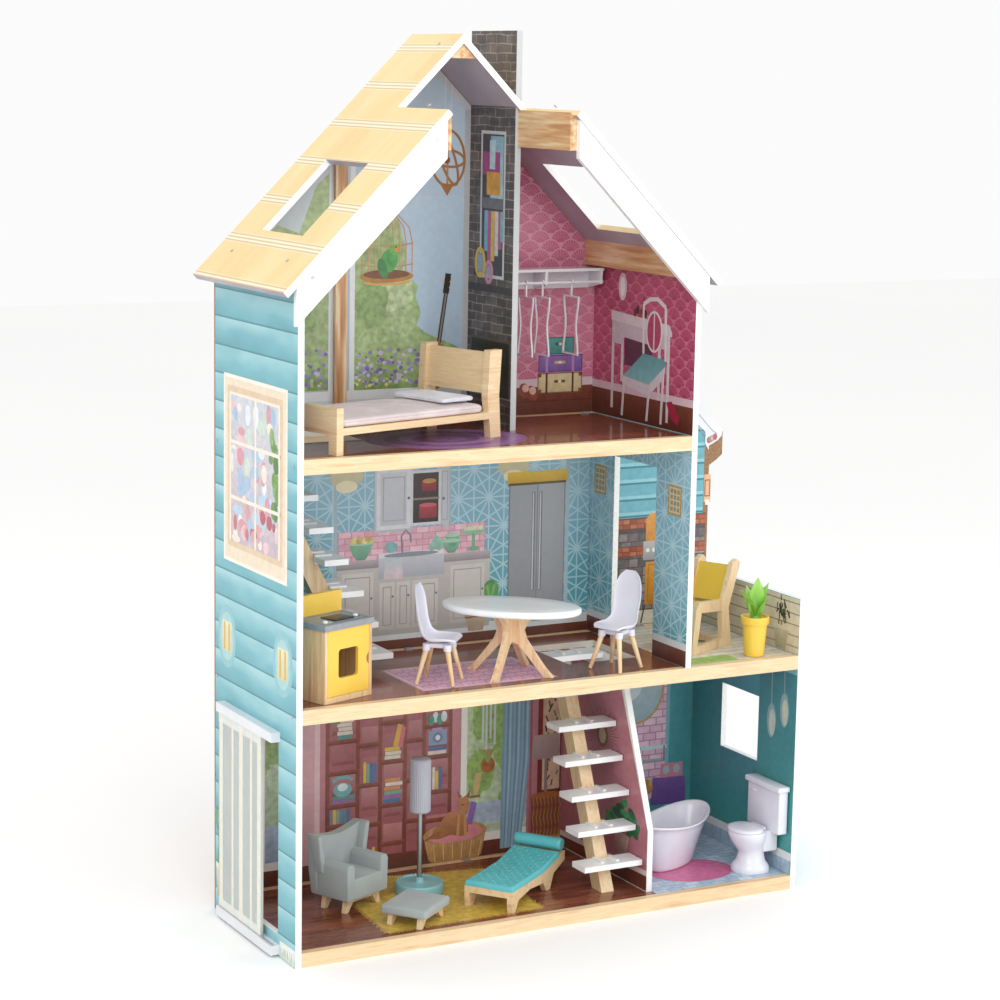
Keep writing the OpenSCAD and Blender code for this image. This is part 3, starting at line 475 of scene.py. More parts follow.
# ---- Rails, cleats and battens ----
# Planed pine strip, clear lacquered, screwed between the walls and under the roof. The grain runs
# along each strip.
def pine(name, along, stretch=14.0, dark="d9b488", light="ead0a8", also=None):
    f = Finish(name, rough=0.42, coat=0.15)
    squeeze = [stretch] * 3
    squeeze[along] = 1.0
    if also is not None:
        squeeze[also] = 1.0
    rings = f.noise(9, squeeze, 3)
    fibre = f.noise(60, [s * 0.8 for s in squeeze], 2)
    tone = f.steps(rings, [(0.3, ink(dark)), (0.48, ink(light)), (0.6, ink("e6c99d")), (0.72, ink("efd9b5"))])
    line = f.calc("MULTIPLY", f.band(f.calc("FRACT", f.calc("MULTIPLY", rings, 9.0)), 0.72, 1.0), 0.2)
    tone = f.mix(line, tone, ink("c8935f"))
    f.colour(f.mix(f.calc("MULTIPLY", f.band(fibre, 0.5, 0.75), 0.16), tone, ink("c99a68")))
    f.relief(fibre, 0.0001)
    f.gloss(f.calc("MULTIPLY_ADD", fibre, 0.2, 0.32))
    return f


pine_x = pine("pine_along_x", 0)
pine_z = pine("pine_upright", 2)
red_pine = pine("pine_cleats", 1, dark="b9814f", light="d9ad7c")
dress(pine_x, "front_rails", "back_rails")
dress(red_pine, "roof_cleats")
dress(pine("pine_batten", 2, dark="a97448", light="cd9c6c"), "attic_batten")


# ---- Back panels and their printed rooms ----
# Thin hardboard, brown behind and printed in front, clipped to the back of each floor. The kitchen
# has a blue starburst paper, the closet a pink fan paper; every other room is drawn in inks.
hardboard = Finish("brown_hardboard", rough=0.75)
fibre = hardboard.noise(400, (1, 1, 1), 4)
hardboard.colour(hardboard.steps(fibre, [(0.3, ink("8a6646")), (0.7, ink("a98460"))]))
hardboard.relief(fibre, 0.0002)
dress(hardboard, "ground_back_panel", "kitchen_back_panel", "attic_back_panel")


def starburst_paper(name, across):
    """Blue paper with pale lines in six directions, which meet in twelve-pointed stars."""
    f = Finish(name, rough=0.42, coat=0.1)
    places = f.parts()
    u, v = places[across], places[2]
    cell = 0.05
    near = None
    for k in range(6):
        turn = math.radians(30 * k)
        pitch = cell * math.sqrt(3) / 2 if k % 2 == 0 else cell / 2
        along = f.calc("ADD", f.calc("MULTIPLY", u, -math.sin(turn)), f.calc("MULTIPLY", v, math.cos(turn)))
        share = f.calc("FRACT", f.calc("ADD", f.calc("DIVIDE", along, pitch), 0.5))
        off = f.calc("ABSOLUTE", f.calc("SUBTRACT", share, 0.5))
        gap = f.calc("MULTIPLY", off, pitch)
        near = gap if near is None else f.calc("MINIMUM", near, gap)
    line = f.calc("SUBTRACT", 1.0, f.band(near, 0.0007, 0.0016))
    shade = f.noise(5, (1, 1, 1), 2)
    low_high = f.band(v, 0.36, 0.6)
    ground = f.mix(low_high, ink("4f9aa5"), ink("86b5c9"))
    ground = f.mix(f.calc("MULTIPLY", f.band(shade, 0.4, 0.65), 0.5), ground, ink("a4cbd8"))
    f.colour(f.mix(f.calc("MULTIPLY", line, 0.62), ground, ink("c9e2ea")))
    return f


def fan_paper(name, across, deep, mid, pale):
    """Rose paper with rows of fans: rays that spread from the foot of each scale."""
    f = Finish(name, rough=0.45, coat=0.1)
    places = f.parts()
    u, v = places[across], places[2]
    wide, high = 0.034, 0.0135
    radius = wide / 2 * 1.06
    scales = []
    for under in (1, 0):
        row = f.calc("SUBTRACT", f.calc("FLOOR", f.calc("DIVIDE", v, high)), float(under))
        shift = f.calc("MULTIPLY", f.calc("MODULO", f.calc("ABSOLUTE", row), 2.0), 0.5)
        du = f.calc("SUBTRACT", f.calc("FRACT", f.calc("ADD", f.calc("DIVIDE", u, wide), shift)), 0.5)
        du = f.calc("MULTIPLY", du, wide)
        dv = f.calc("SUBTRACT", v, f.calc("MULTIPLY", row, high))
        far = f.calc("SQRT", f.calc("ADD", f.calc("MULTIPLY", du, du), f.calc("MULTIPLY", dv, dv)))
        turn = f.calc("MULTIPLY", f.calc("ARCTAN2", du, dv), 3.2)
        ray = f.calc("ABSOLUTE", f.calc("SUBTRACT", f.calc("FRACT", turn), 0.5))
        rays = f.calc("MULTIPLY", f.band(ray, 0.3, 0.42), f.band(far, radius * 0.28, radius * 0.4))
        mark = f.calc("MAXIMUM", f.calc("MULTIPLY", rays, 0.8), f.band(far, radius * 0.88, radius * 0.93))
        scales.append((mark, f.calc("LESS_THAN", far, radius)))
    (lower_mark, on_lower), (own_mark, _) = scales
    rest = f.calc("MULTIPLY", own_mark, f.calc("SUBTRACT", 1.0, on_lower))
    drawn = f.calc("ADD", f.calc("MULTIPLY", lower_mark, on_lower), rest)
    cloud = f.noise(6, (1, 1, 1), 2)
    ground = f.mix(f.band(cloud, 0.35, 0.65), ink(deep), ink(mid))
    f.colour(f.mix(f.calc("MULTIPLY", drawn, 0.55), ground, ink(pale)))
    return f


def on_back(u, v, h):
    return at(u, 276 - h, v)


blue_paper = starburst_paper("blue_starburst_paper", 0)
blue_paper_side = starburst_paper("blue_starburst_paper_side", 1)
rose_paper = fan_paper("rose_fan_paper", 0, "b9577a", "cc7f98", "e6b3c2")
# The side copy of the rose paper is drawn in darker inks than the back wall's: painted shade on the closet's
# side faces.
rose_paper_in_painted_shade = fan_paper("rose_fan_paper_in_painted_shade", 1, "a33a5e", "b9506f", "d98ba0")

# bedroom: a garden seen through tall white windows, a bird cage, a hanging globe and a guitar
tower_mid, eave_z = 303.5, 908
p = Print("bedroom_wall_print", on_back)
p.shape([(9, 681), (388, 681), (388, 1126), (tower_mid, 1210), (9, 916)], "bfd3e2", 0, 0.06, low="a9bccd")
p.rect(205, 726, 388, 1000, "b9cede", 1, 0.08, low="a8bed1")
p.shape([(9, 729), (169, 729), (169, 1070), (9, 915)], "c7cfd4", 1, 0.05, low="b8c2c0")
p.shape(
    [
        (11, 731), (169, 731), (169, 1032), (150, 1016), (139, 988), (124, 950), (92, 962), (60, 935),
        (40, 930), (11, 905)
    ],
    "a9bb8b", 2, 0.5, low="96ab73"
)
p.shape([
    (208, 729), (387, 729), (386, 776), (366, 788), (344, 797), (322, 806), (306, 818), (313, 836),
    (304, 858), (308, 874),
    (290, 888), (281, 893), (289, 912), (286, 934), (279, 958), (273, 975), (254, 980), (238, 974),
    (221, 961), (210, 934),
], "a8bc86", 3, 0.5, low="8ea769")
for k, (u, v, a, b) in enumerate(
    [
        (240, 940, 26, 32), (268, 870, 34, 30), (235, 850, 26, 34), (285, 830, 22, 22), (60, 880, 30, 36),
        (120, 900, 32, 44), (90, 830, 60, 30), (255, 795, 44, 24)
    ]
):
    p.bush(u, v, a, b, ["97ae74", "b3c493", "8aa467", "a2b881"][k % 4], 4, seed=k + 3, mottle=0.6)
p.rect(11, 731, 169, 770, "a3b97c", 5, 0.6, low="7f9c58")
p.shape(
    [(208, 729), (330, 729), (372, 735), (340, 760), (300, 776), (208, 782)], "a3b97c", 5, 0.6, low="7f9c58"
)
p.spots(14, 735, 166, 788, 90, 3.0, ["8f7fb8", "a596c8", "7a6aa6", "c7bddb"], 6, 11)
p.spots(211, 735, 318, 788, 110, 3.0, ["8f7fb8", "a596c8", "7a6aa6", "c7bddb"], 6, 12)
p.spots(12, 733, 320, 745, 40, 2.4, ["d5c662", "b5c76c", "e2d88a"], 7, 13)
for u in (9, 169, 201):
    p.rect(u, 681, u + 8, min(eave_z + u, 1126), "dfe3e6", 8, 0.05)
p.rect(9, 716, 388, 729, "dfe2e4", 9, 0.05)
p.rect(9, 681, 388, 706, "6d3b2b", 9, 0.35, low="552b20")
p.rect(9, 704, 388, 716, "ccd2d6", 9, 0.05)
p.shape(
    [(388, 1126), (388, 1112), (tower_mid, 1196), (9, 902), (9, 916), (tower_mid, 1210)], "c9c9cd", 9, 0.05
)
# The window post in the corner beside the chimney board is drawn darker grey than the others: painted shade.
p.rect(379, 716, 388, 1120, "b6b8ba", 9, 0.05)
p.stroke([(347, 1166), (348, 1090)], 1, "e8e2d6", 9)
p.stroke([(358, 1156), (355, 1090)], 1, "e8e2d6", 9)
# globe of copper rings
for a, b, turn in ((27, 40, 0.1), (11, 40, 0.35), (27, 12, -0.15)):
    ring = [(a * math.cos(k * math.tau / 36), b * math.sin(k * math.tau / 36)) for k in range(37)]
    c, s = math.cos(turn), math.sin(turn)
    p.stroke([(352 + i * c - j * s, 1053 + i * s + j * c) for i, j in ring], 3.4, "a5703a", 10)
p.stroke([(352, 1092), (352, 1012)], 2.6, "b98347", 11)
p.disc(351, 1050, 5, 5, "8a5a2c", 11)
p.shape([(340, 1018), (362, 1016), (352, 1000)], "a5703a", 11)
# bird cage with a parrot
for k in range(9):
    t = -1 + k * 0.25
    p.stroke(
        [(259 + 39 * t, 892), (259 + 39 * t, 934), (259 + 34 * t, 956), (259 + 16 * t, 974), (259, 980)], 1.3,
        "cf9a72", 10
    )
for v in (905, 934):
    p.stroke([(220, v), (240, v - 3), (278, v - 3), (299, v)], 1.5, "c58c5e", 11)
p.disc(258, 888, 42, 9, "b57d3c", 11, 0.3)
p.disc(258, 891, 36, 6.5, "7c4d2a", 12, 0.3)
p.stroke([(222, 880), (240, 877), (276, 877), (294, 880)], 3, "d8a354", 12)
p.stroke([(259, 980), (259, 996)], 1.6, "cf9a72", 12)
p.disc(262, 910, 13, 17, "4f9b52", 12, 0.5, turn=-0.3)
p.disc(252, 899, 7, 15, "3f8346", 13, 0.4, turn=0.3)
p.disc(270, 925, 7.5, 7.5, "6dae4f", 13, 0.3)
p.disc(274, 926, 4, 4, "dd8b3e", 14)
p.disc(272, 929, 1.2, 1.2, "2b2a2a", 15)
# guitar
p.stroke([(353, 866), (342, 792)], 6.5, "4b3f3b", 10)
p.stroke([(353, 866), (342, 792)], 2.2, "8b8683", 11)
p.stroke([(356, 890), (352, 862)], 9.5, "2f2827", 11)
for k in range(3):
    for side in (-6, 6):
        p.disc(355 + side - k * 1.2, 886 - k * 8, 1.7, 1.7, "c9c3bb", 12)
p.disc(333, 745, 24, 20, "a8683a", 10, 0.3)
p.disc(338, 778, 17, 14, "b3743f", 10, 0.3)
p.disc(336, 764, 7, 7, "3a2219", 12)
p.done()

# closet: rose fan paper over a white skirting, suitcases, a bag and shoes, and a desk and chair on
# the side wall
p = Print("closet_paper_print", on_back, rose_paper, 0.04)
p.shape([(397.3, 733), (597.7, 733), (597.7, 916), (397.3, 1117)], "ffffff", 0)
p.done()
p = Print("closet_wall_print", on_back)
p.rect(397.3, 681, 597.7, 721, "7d4534", 1, 0.35, low="5b2f23")
p.stroke([(397.3, 700), (597.7, 700)], 0.8, "46231b", 2)
p.rect(397.3, 721, 597.7, 733, "d8c4cb", 2, 0.05)
p.rect(505, 711, 580, 741, "dcd0a4", 3, 0.2, low="c8b987")
p.rect(506, 742, 580, 767, "9173b4", 3, 0.2, low="7c5da3")
p.rect(519, 768, 565, 793, "62a9a3", 3, 0.2, low="4a918c")
p.frame(505, 711, 580, 741, 1.6, "8a6a48", 4)
p.frame(506, 742, 580, 767, 1.6, "6a4b8d", 4)
p.frame(519, 768, 565, 793, 1.6, "377b77", 4)
for u in (520, 564):
    p.rect(u - 1.6, 711, u + 1.6, 741, "5c3f2e", 5)
    p.rect(u - 2, 742, u + 2, 767, "b98fbe", 5)
for u, v in ((505, 711), (574, 711), (505, 735), (574, 735)):
    p.rect(u, v, u + 6, v + 6, "7c5638", 6)
for u, v, tone in ((542, 728, "6e4b31"), (542, 756, "d5bd5c"), (542, 783, "2f6e6a")):
    p.rect(u - 9, v - 2, u + 9, v + 2, tone, 6)
    p.disc(u, v, 3, 2.2, "e8dfc2", 7)
for k, (u, v) in enumerate(((484, 716), (496, 712))):
    p.disc(u, v, 9, 12, "8c4a3c", 3, 0.5, turn=0.5)
    p.disc(u + 1, v + 4, 5.5, 6, "d9b2a2", 4, 0.4, turn=0.5)
p.disc(410, 780, 14, 34, "7c5b9c", 3, 0.3)
p.rect(397.3, 772, 402, 792, "cdbfe0", 4)
# A greyish pink strip up the corner beside the chimney board: painted shade.
p.rect(397.3, 721, 401, 1110, "c6a7ae", 5, 0.05)
p.done()

# The closet's side wall takes the darker copy of the rose paper: painted shade.
p = Print("closet_side_paper_print", lambda u, v, h: at(598 - h, u, v), rose_paper_in_painted_shade, 0.04)
p.shape([(0.5, 730), (275.7, 730), (275.7, 907), (0.5, 907)], "ffffff", 0)
p.done()
p = Print("closet_side_print", lambda u, v, h: at(598 - h, u, v))
# The skirting and its pale band are drawn a little darker than on the back wall: painted shade on the side
# wall.
p.rect(0.5, 681, 275.7, 719, "74402f", 1, 0.35, low="552b20")
p.rect(0.5, 719, 275.7, 730, "d6bcc6", 2, 0.05)
desk = "d5cdd2"
p.shape([(225, 836), (68, 828), (60, 818), (60, 812), (225, 822)], desk, 3)
p.shape([(222, 822), (72, 813), (72, 792), (190, 800), (190, 788), (222, 790)], "c6bcc3", 4)
for u, v0, v1 in ((219, 694, 824), (193, 735, 800), (68, 690, 815), (92, 720, 800)):
    p.rect(u - 3.2, v0, u + 3.2, v1, desk, 3)
p.rect(112, 760, 186, 799, "5d3244", 3, 0.2)
p.stroke([(137, 852), (120, 860), (100, 862), (78, 852)], 6, "ddd6da", 6)
for u in (137, 78):
    p.stroke([(u, 852), (u - 3, 776)], 5, "ddd6da", 6)
p.disc(107, 815, 20, 28, "b04767", 5, 0.3)
ring = [(107 + 20 * math.cos(k * math.tau / 28), 815 + 28 * math.sin(k * math.tau / 28)) for k in range(29)]
p.stroke(ring, 3.2, "ddd6da", 6)
p.stroke([(107, 843), (107, 787)], 2.6, "ddd6da", 7)
p.shape(
    [(178, 751), (190, 744), (118, 736), (74, 770), (78, 778), (134, 782)], "5b9ba0", 7, 0.2, low="84bcc0"
)
p.shape([(188, 744), (190, 732), (118, 722), (78, 752), (76, 768), (118, 738)], "d4ccd1", 8)
for u, v1 in ((186, 735), (118, 724), (80, 758)):
    p.stroke([(u, v1), (u + 4, 686)], 5, "d4ccd1", 8)
p.disc(196, 872, 11, 20, "d8cdd3", 3, 0.1)
p.disc(196, 872, 6, 14, "f1ecee", 4)
p.shape([(70, 719), (56, 722), (36, 700), (40, 690), (58, 698)], "a32745", 4, 0.2)
for k in range(5):
    p.disc(160 - 7 * k, 838 + 4 * (k % 2), 4, 6, ["7b2c34", "4a2a2a", "9c4a41"][k % 3], 5, 0.3)
p.stroke([(142, 842), (136, 862)], 2, "4a2a2a", 5)
p.done()

# kitchen: wall cabinet, tiled splash, cupboards with a sink, and a tall fridge
p = Print("kitchen_paper_print", on_back, blue_paper, 0.04)
p.rect(9.3, 372, 597.7, 659, "ffffff", 0)
p.done()
p = Print("kitchen_side_paper_print", lambda u, v, h: at(598 - h, u, v), blue_paper_side, 0.04)
p.rect(0.5, 384, 89.5, 670, "ffffff", 0)
p.rect(206.5, 384, 275.7, 670, "ffffff", 0)
p.rect(89.5, 624.5, 206.5, 670, "ffffff", 0)
p.done()
p = Print("kitchen_wall_print", on_back)
p.rect(9.3, 350.5, 597.7, 366, "6b3829", 1, 0.35, low="552b20")
p.rect(9.3, 364, 597.7, 378, "cfd4d6", 1, 0.05)
p.rect(9.3, 654, 597.7, 670, "5e8996", 1, 0.1)
for u in (182, 245, 363, 560):
    p.rect(u - 3, 378, u + 3, 658, "a6bcc6", 1, 0.05)
for u in (199, 468):
    p.disc(u, 606, 26, 17, "d9cda4", 2, 0.1, low="c4bd9f")
    p.disc(u, 592, 17, 9, "e9dfbd", 3, 0.1)
p.rect(186, 481, 422, 527, "c78ea2", 2, 0.1)
for row in range(5):
    v = 482.5 + row * 9
    for i in range(12):
        u = 187 + i * 20.6 - (10.3 if row % 2 else 0)
        a, b = max(u, 187), min(u + 19.2, 421)
        if b - a > 3:
            p.rect(a, v, b, v + 7.8, ["e3b4c2", "dca8ba", "e9c1cc"][(i + row * 2) % 3], 3, 0.2)
p.rect(243, 522, 304, 618, "cfd1d6", 4, 0.06, low="bcc0c8")
p.frame(246, 526, 300, 614, 6, "dadce0", 5)
p.frame(256, 538, 291, 602, 1.6, "a9adb5", 6)
p.rect(302, 531, 348, 607, "43332f", 4, 0.3, low="2d2120")
p.frame(300, 529, 349, 609, 4, "d3d6da", 5)
p.rect(304, 566, 346, 569, "8d7a70", 6)
p.rect(318, 578, 341, 593, "a3353f", 6, 0.3, low="7f2530")
p.rect(314, 539, 342, 558, "b03b46", 6, 0.3, low="842833")
p.disc(330, 593, 11, 3.5, "bf8f4d", 7)
p.disc(328, 558, 14, 3, "d05c63", 7)
p.shape([(349, 609), (362, 613), (362, 517), (349, 531)], "c3c6cd", 5, 0.05)
p.frame(350, 534, 360, 606, 1.2, "a3a7b0", 6)
p.disc(297, 570, 2.2, 2.2, "6d6f74", 7)
p.disc(353, 566, 2.2, 2.2, "6d6f74", 7)
p.rect(184, 472, 431, 484, "b6aeb2", 5, 0.1, low="938c91")
p.rect(184, 372, 431, 472, "c3bfba", 4, 0.06, low="aaa7a3")
for u0, u1 in ((192, 242), (252, 276), (279, 301), (304, 346), (366, 422)):
    top = 466 if u0 in (192, 366) else 449
    p.rect(u0, 380, u1, top, "d0ccc6", 6, 0.06, low="b9b5b0")
    p.frame(u0 + 5, 386, u1 - 5, top - 6, 1.4, "9d9893", 7)
    p.disc(u1 - 3, 428, 1.8, 1.8, "7a756f", 8)
p.rect(250, 455, 355, 488, "c9cbd3", 7, 0.06, low="a9adb8")
p.rect(250, 485, 355, 492, "dcdde2", 8, 0.05)
p.disc(302, 488, 44, 3.5, "8f93a0", 9)
p.stroke([(288, 488), (286, 515), (293, 524), (301, 515), (301, 505)], 2.6, "81858f", 9)
p.disc(270, 500, 10, 8, "7fb3b3", 9, 0.3)
p.shape([(262, 490), (286, 490), (290, 452), (258, 455)], "b7cfd2", 9, 0.2, low="d9c3c9")
for k in range(5):
    p.disc(335 + 4 * k, 496 + 5 * (k % 3), 5, 6, "8fc0ab", 9, 0.3)
for u, v, ru, rv in ((222, 497, 19, 12), (367, 494, 15, 9), (369, 503, 12, 8)):
    p.shape(
        [
            (u - ru, v + rv), (u + ru, v + rv), (u + ru * 0.7, v - rv * 0.3), (u + ru * 0.35, v - rv),
            (u - ru * 0.35, v - rv), (u - ru * 0.7, v - rv * 0.3)
        ],
        "86b79b", 9, 0.2, low="659c80"
    )
    p.disc(u, v + rv, ru, 3, "a5cfb4", 10)
for k in range(7):
    p.disc(208 + 5 * k, 512 + 3 * (k % 2), 4.5, 4, ["d9c57e", "e6d79b", "c9a85e"][k % 3], 11, 0.3)
p.disc(403, 514, 20, 4.5, "8fbfa0", 9, 0.2)
p.rect(400.5, 492, 405.5, 512, "7aae8e", 9)
p.disc(403, 489, 10, 3.4, "7aae8e", 9)
for k in range(6):
    p.disc(390 + 5 * k, 519, 3.4, 3.4, ["e2d3b0", "cfe0c4"][k % 2], 10, 0.2)
# fridge
p.rect(461, 372, 556, 594, "7f8387", 4, 0.05)
p.rect(463, 374, 508, 580, "a0a3a8", 5, 0.05, low="8b8e93")
p.rect(510, 374, 554, 580, "a4a7ac", 5, 0.05, low="8d9095")
for u in (500, 512):
    p.rect(u, 418, u + 5, 566, "6a6d73", 6)
    p.rect(u + 1, 419, u + 3, 565, "c8cbd0", 7)
p.rect(458, 580, 559, 597, "e0bb3c", 6, 0.1, low="c79e2b")
p.rect(460, 577, 557, 580.5, "5b4a2a", 6)
p.disc(433, 424, 13, 16, "5c9a56", 5, 0.6)
for k in range(5):
    p.stroke([(433, 405), (421 + 6 * k, 432)], 3.6, ["5a9a4e", "7ab567"][k % 2], 6)
p.shape([(386, 405), (428, 405), (421, 366), (397, 366)], "c6b39b", 7, 0.15, low="a8937b")
p.disc(407, 405, 21, 3.6, "d9cab5", 8)
p.done()

p = Print("kitchen_side_print", lambda u, v, h: at(598 - h, u, v))
for a, b in ((0.5, 89.5), (206.5, 275.7)):
    p.rect(a, 350.5, b, 374, "6b3829", 1, 0.35, low="552b20")
    p.rect(a, 374, b, 384, "cfd4d6", 1, 0.05)
for u0, u1 in ((229, 262), (23, 58)):
    p.rect(u0, 562, u1, 605, "b8924a", 2, 0.2)
    p.rect(u0 + 3, 565, u1 - 3, 602, "c9c0a2", 3, 0.2)
    for i in range(3):
        for k in range(4):
            p.rect(u0 + 5 + i * 8.6, 568 + k * 8.4, u0 + 11 + i * 8.6, 574 + k * 8.4, "9c8a63", 4, 0.3)
p.done()

# living room: book shelves on a pink wall, a glazed door with blue curtains, a dog in its basket and
# a side table
p = Print("living_wall_print", on_back)
p.rect(9.3, 21, 558.7, 320, "c58a92", 0, 0.12, low="b3737e")
p.rect(9.3, 21, 494, 44, "6b3829", 1, 0.35, low="552b20")
p.shape([(494, 21), (558.7, 21), (558.7, 30), (494, 36)], "6b3829", 1, 0.35)
p.shape([(494, 36), (558.7, 30), (558.7, 38), (494, 44)], "d9c7c4", 2, 0.05)
p.rect(9.3, 44, 130, 320, "b9c9ad", 1, 0.5, low="93aa8a")
p.rect(9.3, 44, 130, 110, "a9b7c9", 2, 0.4, low="8fa2bb")
for u, v, s in ((40, 200, 40), (90, 230, 36), (60, 270, 44)):
    p.bush(u, v, s, s * 0.8, "8aa667", 2, seed=int(u), mottle=0.6)
for u in (9.3, 66, 122):
    p.rect(u, 44, u + 9, 320, "e6e4dd", 3, 0.05)
p.rect(9.3, 44, 131, 56, "e6e4dd", 3, 0.05)
p.rect(131, 44, 152, 320, "cfa2a8", 3, 0.1)
p.rect(152, 44, 160, 320, "dcbcbf", 4, 0.1)
shelf_wood, shelf_dark = "914f3d", "6c3429"
p.rect(172, 44, 370, 276, "a8646a", 2, 0.2, low="9a565c")
columns = (172, 220, 256, 296, 327, 370)
r = random.Random(4)
for k, (u0, u1) in enumerate(zip(columns, columns[1:])):
    for i in range(5):
        v0 = 48 + i * 45 + (0, 18, 4, 20, 8)[k]
        p.rect(
            u0 + 6, v0 + 4, u1 - 4, min(v0 + 38, 274), ["b77e80", "a86b6e"][(i + k) % 2], 3, 0.15,
            low="995a5f"
        )
        p.shape([(u0 + 6, v0 + 4), (u1 - 4, v0 + 4), (u1 - 8, v0 + 9), (u0 + 9, v0 + 9)], "8a4d4d", 4, 0.1)
for u in columns:
    p.rect(u - 3, 44, u + 3, 276, shelf_wood, 5, 0.3, low=shelf_dark)
for k, rows in enumerate(
    (
        (96, 126, 175, 221, 268), (92, 152, 212, 268), (60, 118, 183, 242), (90, 151, 211, 268),
        (86, 129, 182, 229)
    )
):
    for v in rows:
        p.rect(columns[k], v - 3.5, columns[k + 1], v + 3.5, shelf_wood, 6, 0.3, low=shelf_dark)
book_inks = ["5a8f86", "d9b84c", "6c7fae", "c86f7b", "d8d0c4", "4f6f9c", "8a6a9c", "79a58f", "cf8a5b"]


def lying_books(u0, u1, v, count):
    for k in range(count):
        p.rect(
            u0 + r.uniform(0, 4), v + k * 6.2, u1 - r.uniform(0, 4), v + k * 6.2 + 5.4, r.choice(book_inks),
            7, 0.2
        )


def standing_books(u0, v, count, high):
    for _ in range(count):
        w = r.uniform(4, 6)
        p.rect(u0, v, u0 + w, v + high * r.uniform(0.8, 1.0), r.choice(book_inks), 7, 0.2)
        u0 += w + 0.6


lying_books(178, 216, 130, 2)
lying_books(186, 214, 225, 5)
lying_books(262, 292, 64, 0)
lying_books(261, 292, 122, 6)
lying_books(262, 290, 187, 3)
lying_books(333, 366, 186, 2)
standing_books(229, 156, 4, 33)
standing_books(331, 133, 5, 34)
standing_books(176, 100, 6, 24)
standing_books(192, 48, 4, 26)
p.shape([(276, 206), (284, 204), (292, 236), (284, 239)], "d6a849", 8, 0.2)
p.shape([(284, 205), (291, 203), (297, 232), (291, 236)], "cf6f7b", 8, 0.2)
p.disc(196, 150, 15, 10, "74aab0", 8, 0.2)
p.disc(196, 154, 8, 6, "cfe2e0", 9)
p.stroke([(180, 163), (188, 168), (204, 168), (212, 163)], 5, "74aab0", 9)
p.rect(334, 200, 364, 222, "8b9bb5", 8, 0.2)
p.disc(349, 211, 8, 8, "6f7f9f", 9)
p.disc(349, 211, 4, 4, "d8dce6", 10)
p.rect(340, 222, 356, 226, "b48ec2", 9)
for k in range(4):
    p.disc(180 + 4 * k, 256 + 5 * (k % 2), 5, 8, "5f9a5a", 9, 0.5)
    p.disc(338 + 7 * k, 238 + 4 * (k % 2), 5, 8, ["4f9a86", "d7dce0"][k % 2], 9, 0.4)
for k, tone in enumerate(("c86f7b", "d8d0c4", "5b7fae", "7fae9a", "d9b84c")):
    p.rect(224 + k * 5, 22, 228.4 + k * 5, 58 - (k % 2) * 5, tone, 9, 0.2)
# glazed garden door and its curtain
p.rect(388, 44, 500, 320, "b7c6a0", 2, 0.3)
p.rect(398, 56, 500, 320, "adc088", 3, 0.5, low="b9cbb0")
for u, v, a, b in ((440, 240, 34, 50), (470, 180, 26, 40), (420, 150, 24, 34), (475, 110, 22, 30)):
    p.bush(u, v, a, b, "8fae62", 4, seed=int(v), mottle=0.6)
p.rect(398, 72, 500, 104, "a7b9cd", 5, 0.4)
p.rect(388, 44, 398, 320, "e9e7e0", 6, 0.05)
p.rect(388, 44, 500, 57, "e9e7e0", 6, 0.05)
for u, v0, v1 in ((424, 196, 300), (430, 180, 300), (437, 200, 300), (444, 190, 300)):
    p.stroke([(u, v0), (u, v1)], 3.4, "c8ccd0", 6)
p.disc(433, 160, 12, 12, "a9673f", 6, 0.5)
for k in range(7):
    p.stroke([(433, 164), (423 + 3.4 * k, 184)], 2.6, ["7fae62", "c96f5a"][k % 2], 7)
p.rect(404, 112, 421, 116, "8a6a4a", 6)
p.shape([(408, 116), (417, 116), (424, 150), (412, 150)], "cbb27c", 6, 0.3)
for k in range(13):
    u = 458 + k * 3.6
    low = 456 + k * 2.6
    tone = ["7fa0b8", "8fb0c4", "6f91ac", "a3c0cf"][k % 4]
    p.shape(
        [(u, 320), (u + 4.0, 320), (u + 4.0 - 1, 160), (low + 3.2, 28), (low, 28), (u - 1, 160)], tone,
        7 + k % 2, 0.1
    )
p.rect(504, 44, 508, 320, "a8656c", 7, 0.1)
# framed plant picture, table lamp and side table
p.rect(518, 100, 558.7, 320, "8a3f3c", 4, 0.2, low="6f3230")
p.rect(526, 110, 556, 320, "d8b79a", 5, 0.3)
for k in range(26):
    u, v = 532 + 18 * r.random(), 116 + k * 7.6
    p.stroke(
        [(u, v), (u + r.uniform(-10, 10), v + r.uniform(6, 14))], 2.6,
        ["35635a", "7c3f3a", "4b8a72", "2c3f3c"][k % 4], 6
    )
p.shape([(506, 158), (557, 158), (553, 196), (511, 196)], "b9a5a0", 7, 0.1, low="a38d88")
p.rect(530, 104, 535, 158, "8d8078", 7)
p.disc(533, 102, 27, 5, "a9673c", 8, 0.2)
for k in range(8):
    u = 511 + k * 6.3
    p.stroke([(u, 100), (u + 2.5, 84), (u, 68), (u + 2.5, 52), (u, 34)], 1.5, "b98a4e", 8)
    p.stroke([(u + 5, 100), (u + 2.5, 84), (u + 5, 68), (u + 2.5, 52), (u + 5, 34)], 1.5, "8a5a34", 8)
p.rect(508, 34, 558, 100, "8a4a40", 7, 0.3)
p.stroke([(507, 36), (558, 36)], 3, "b98a4e", 9)
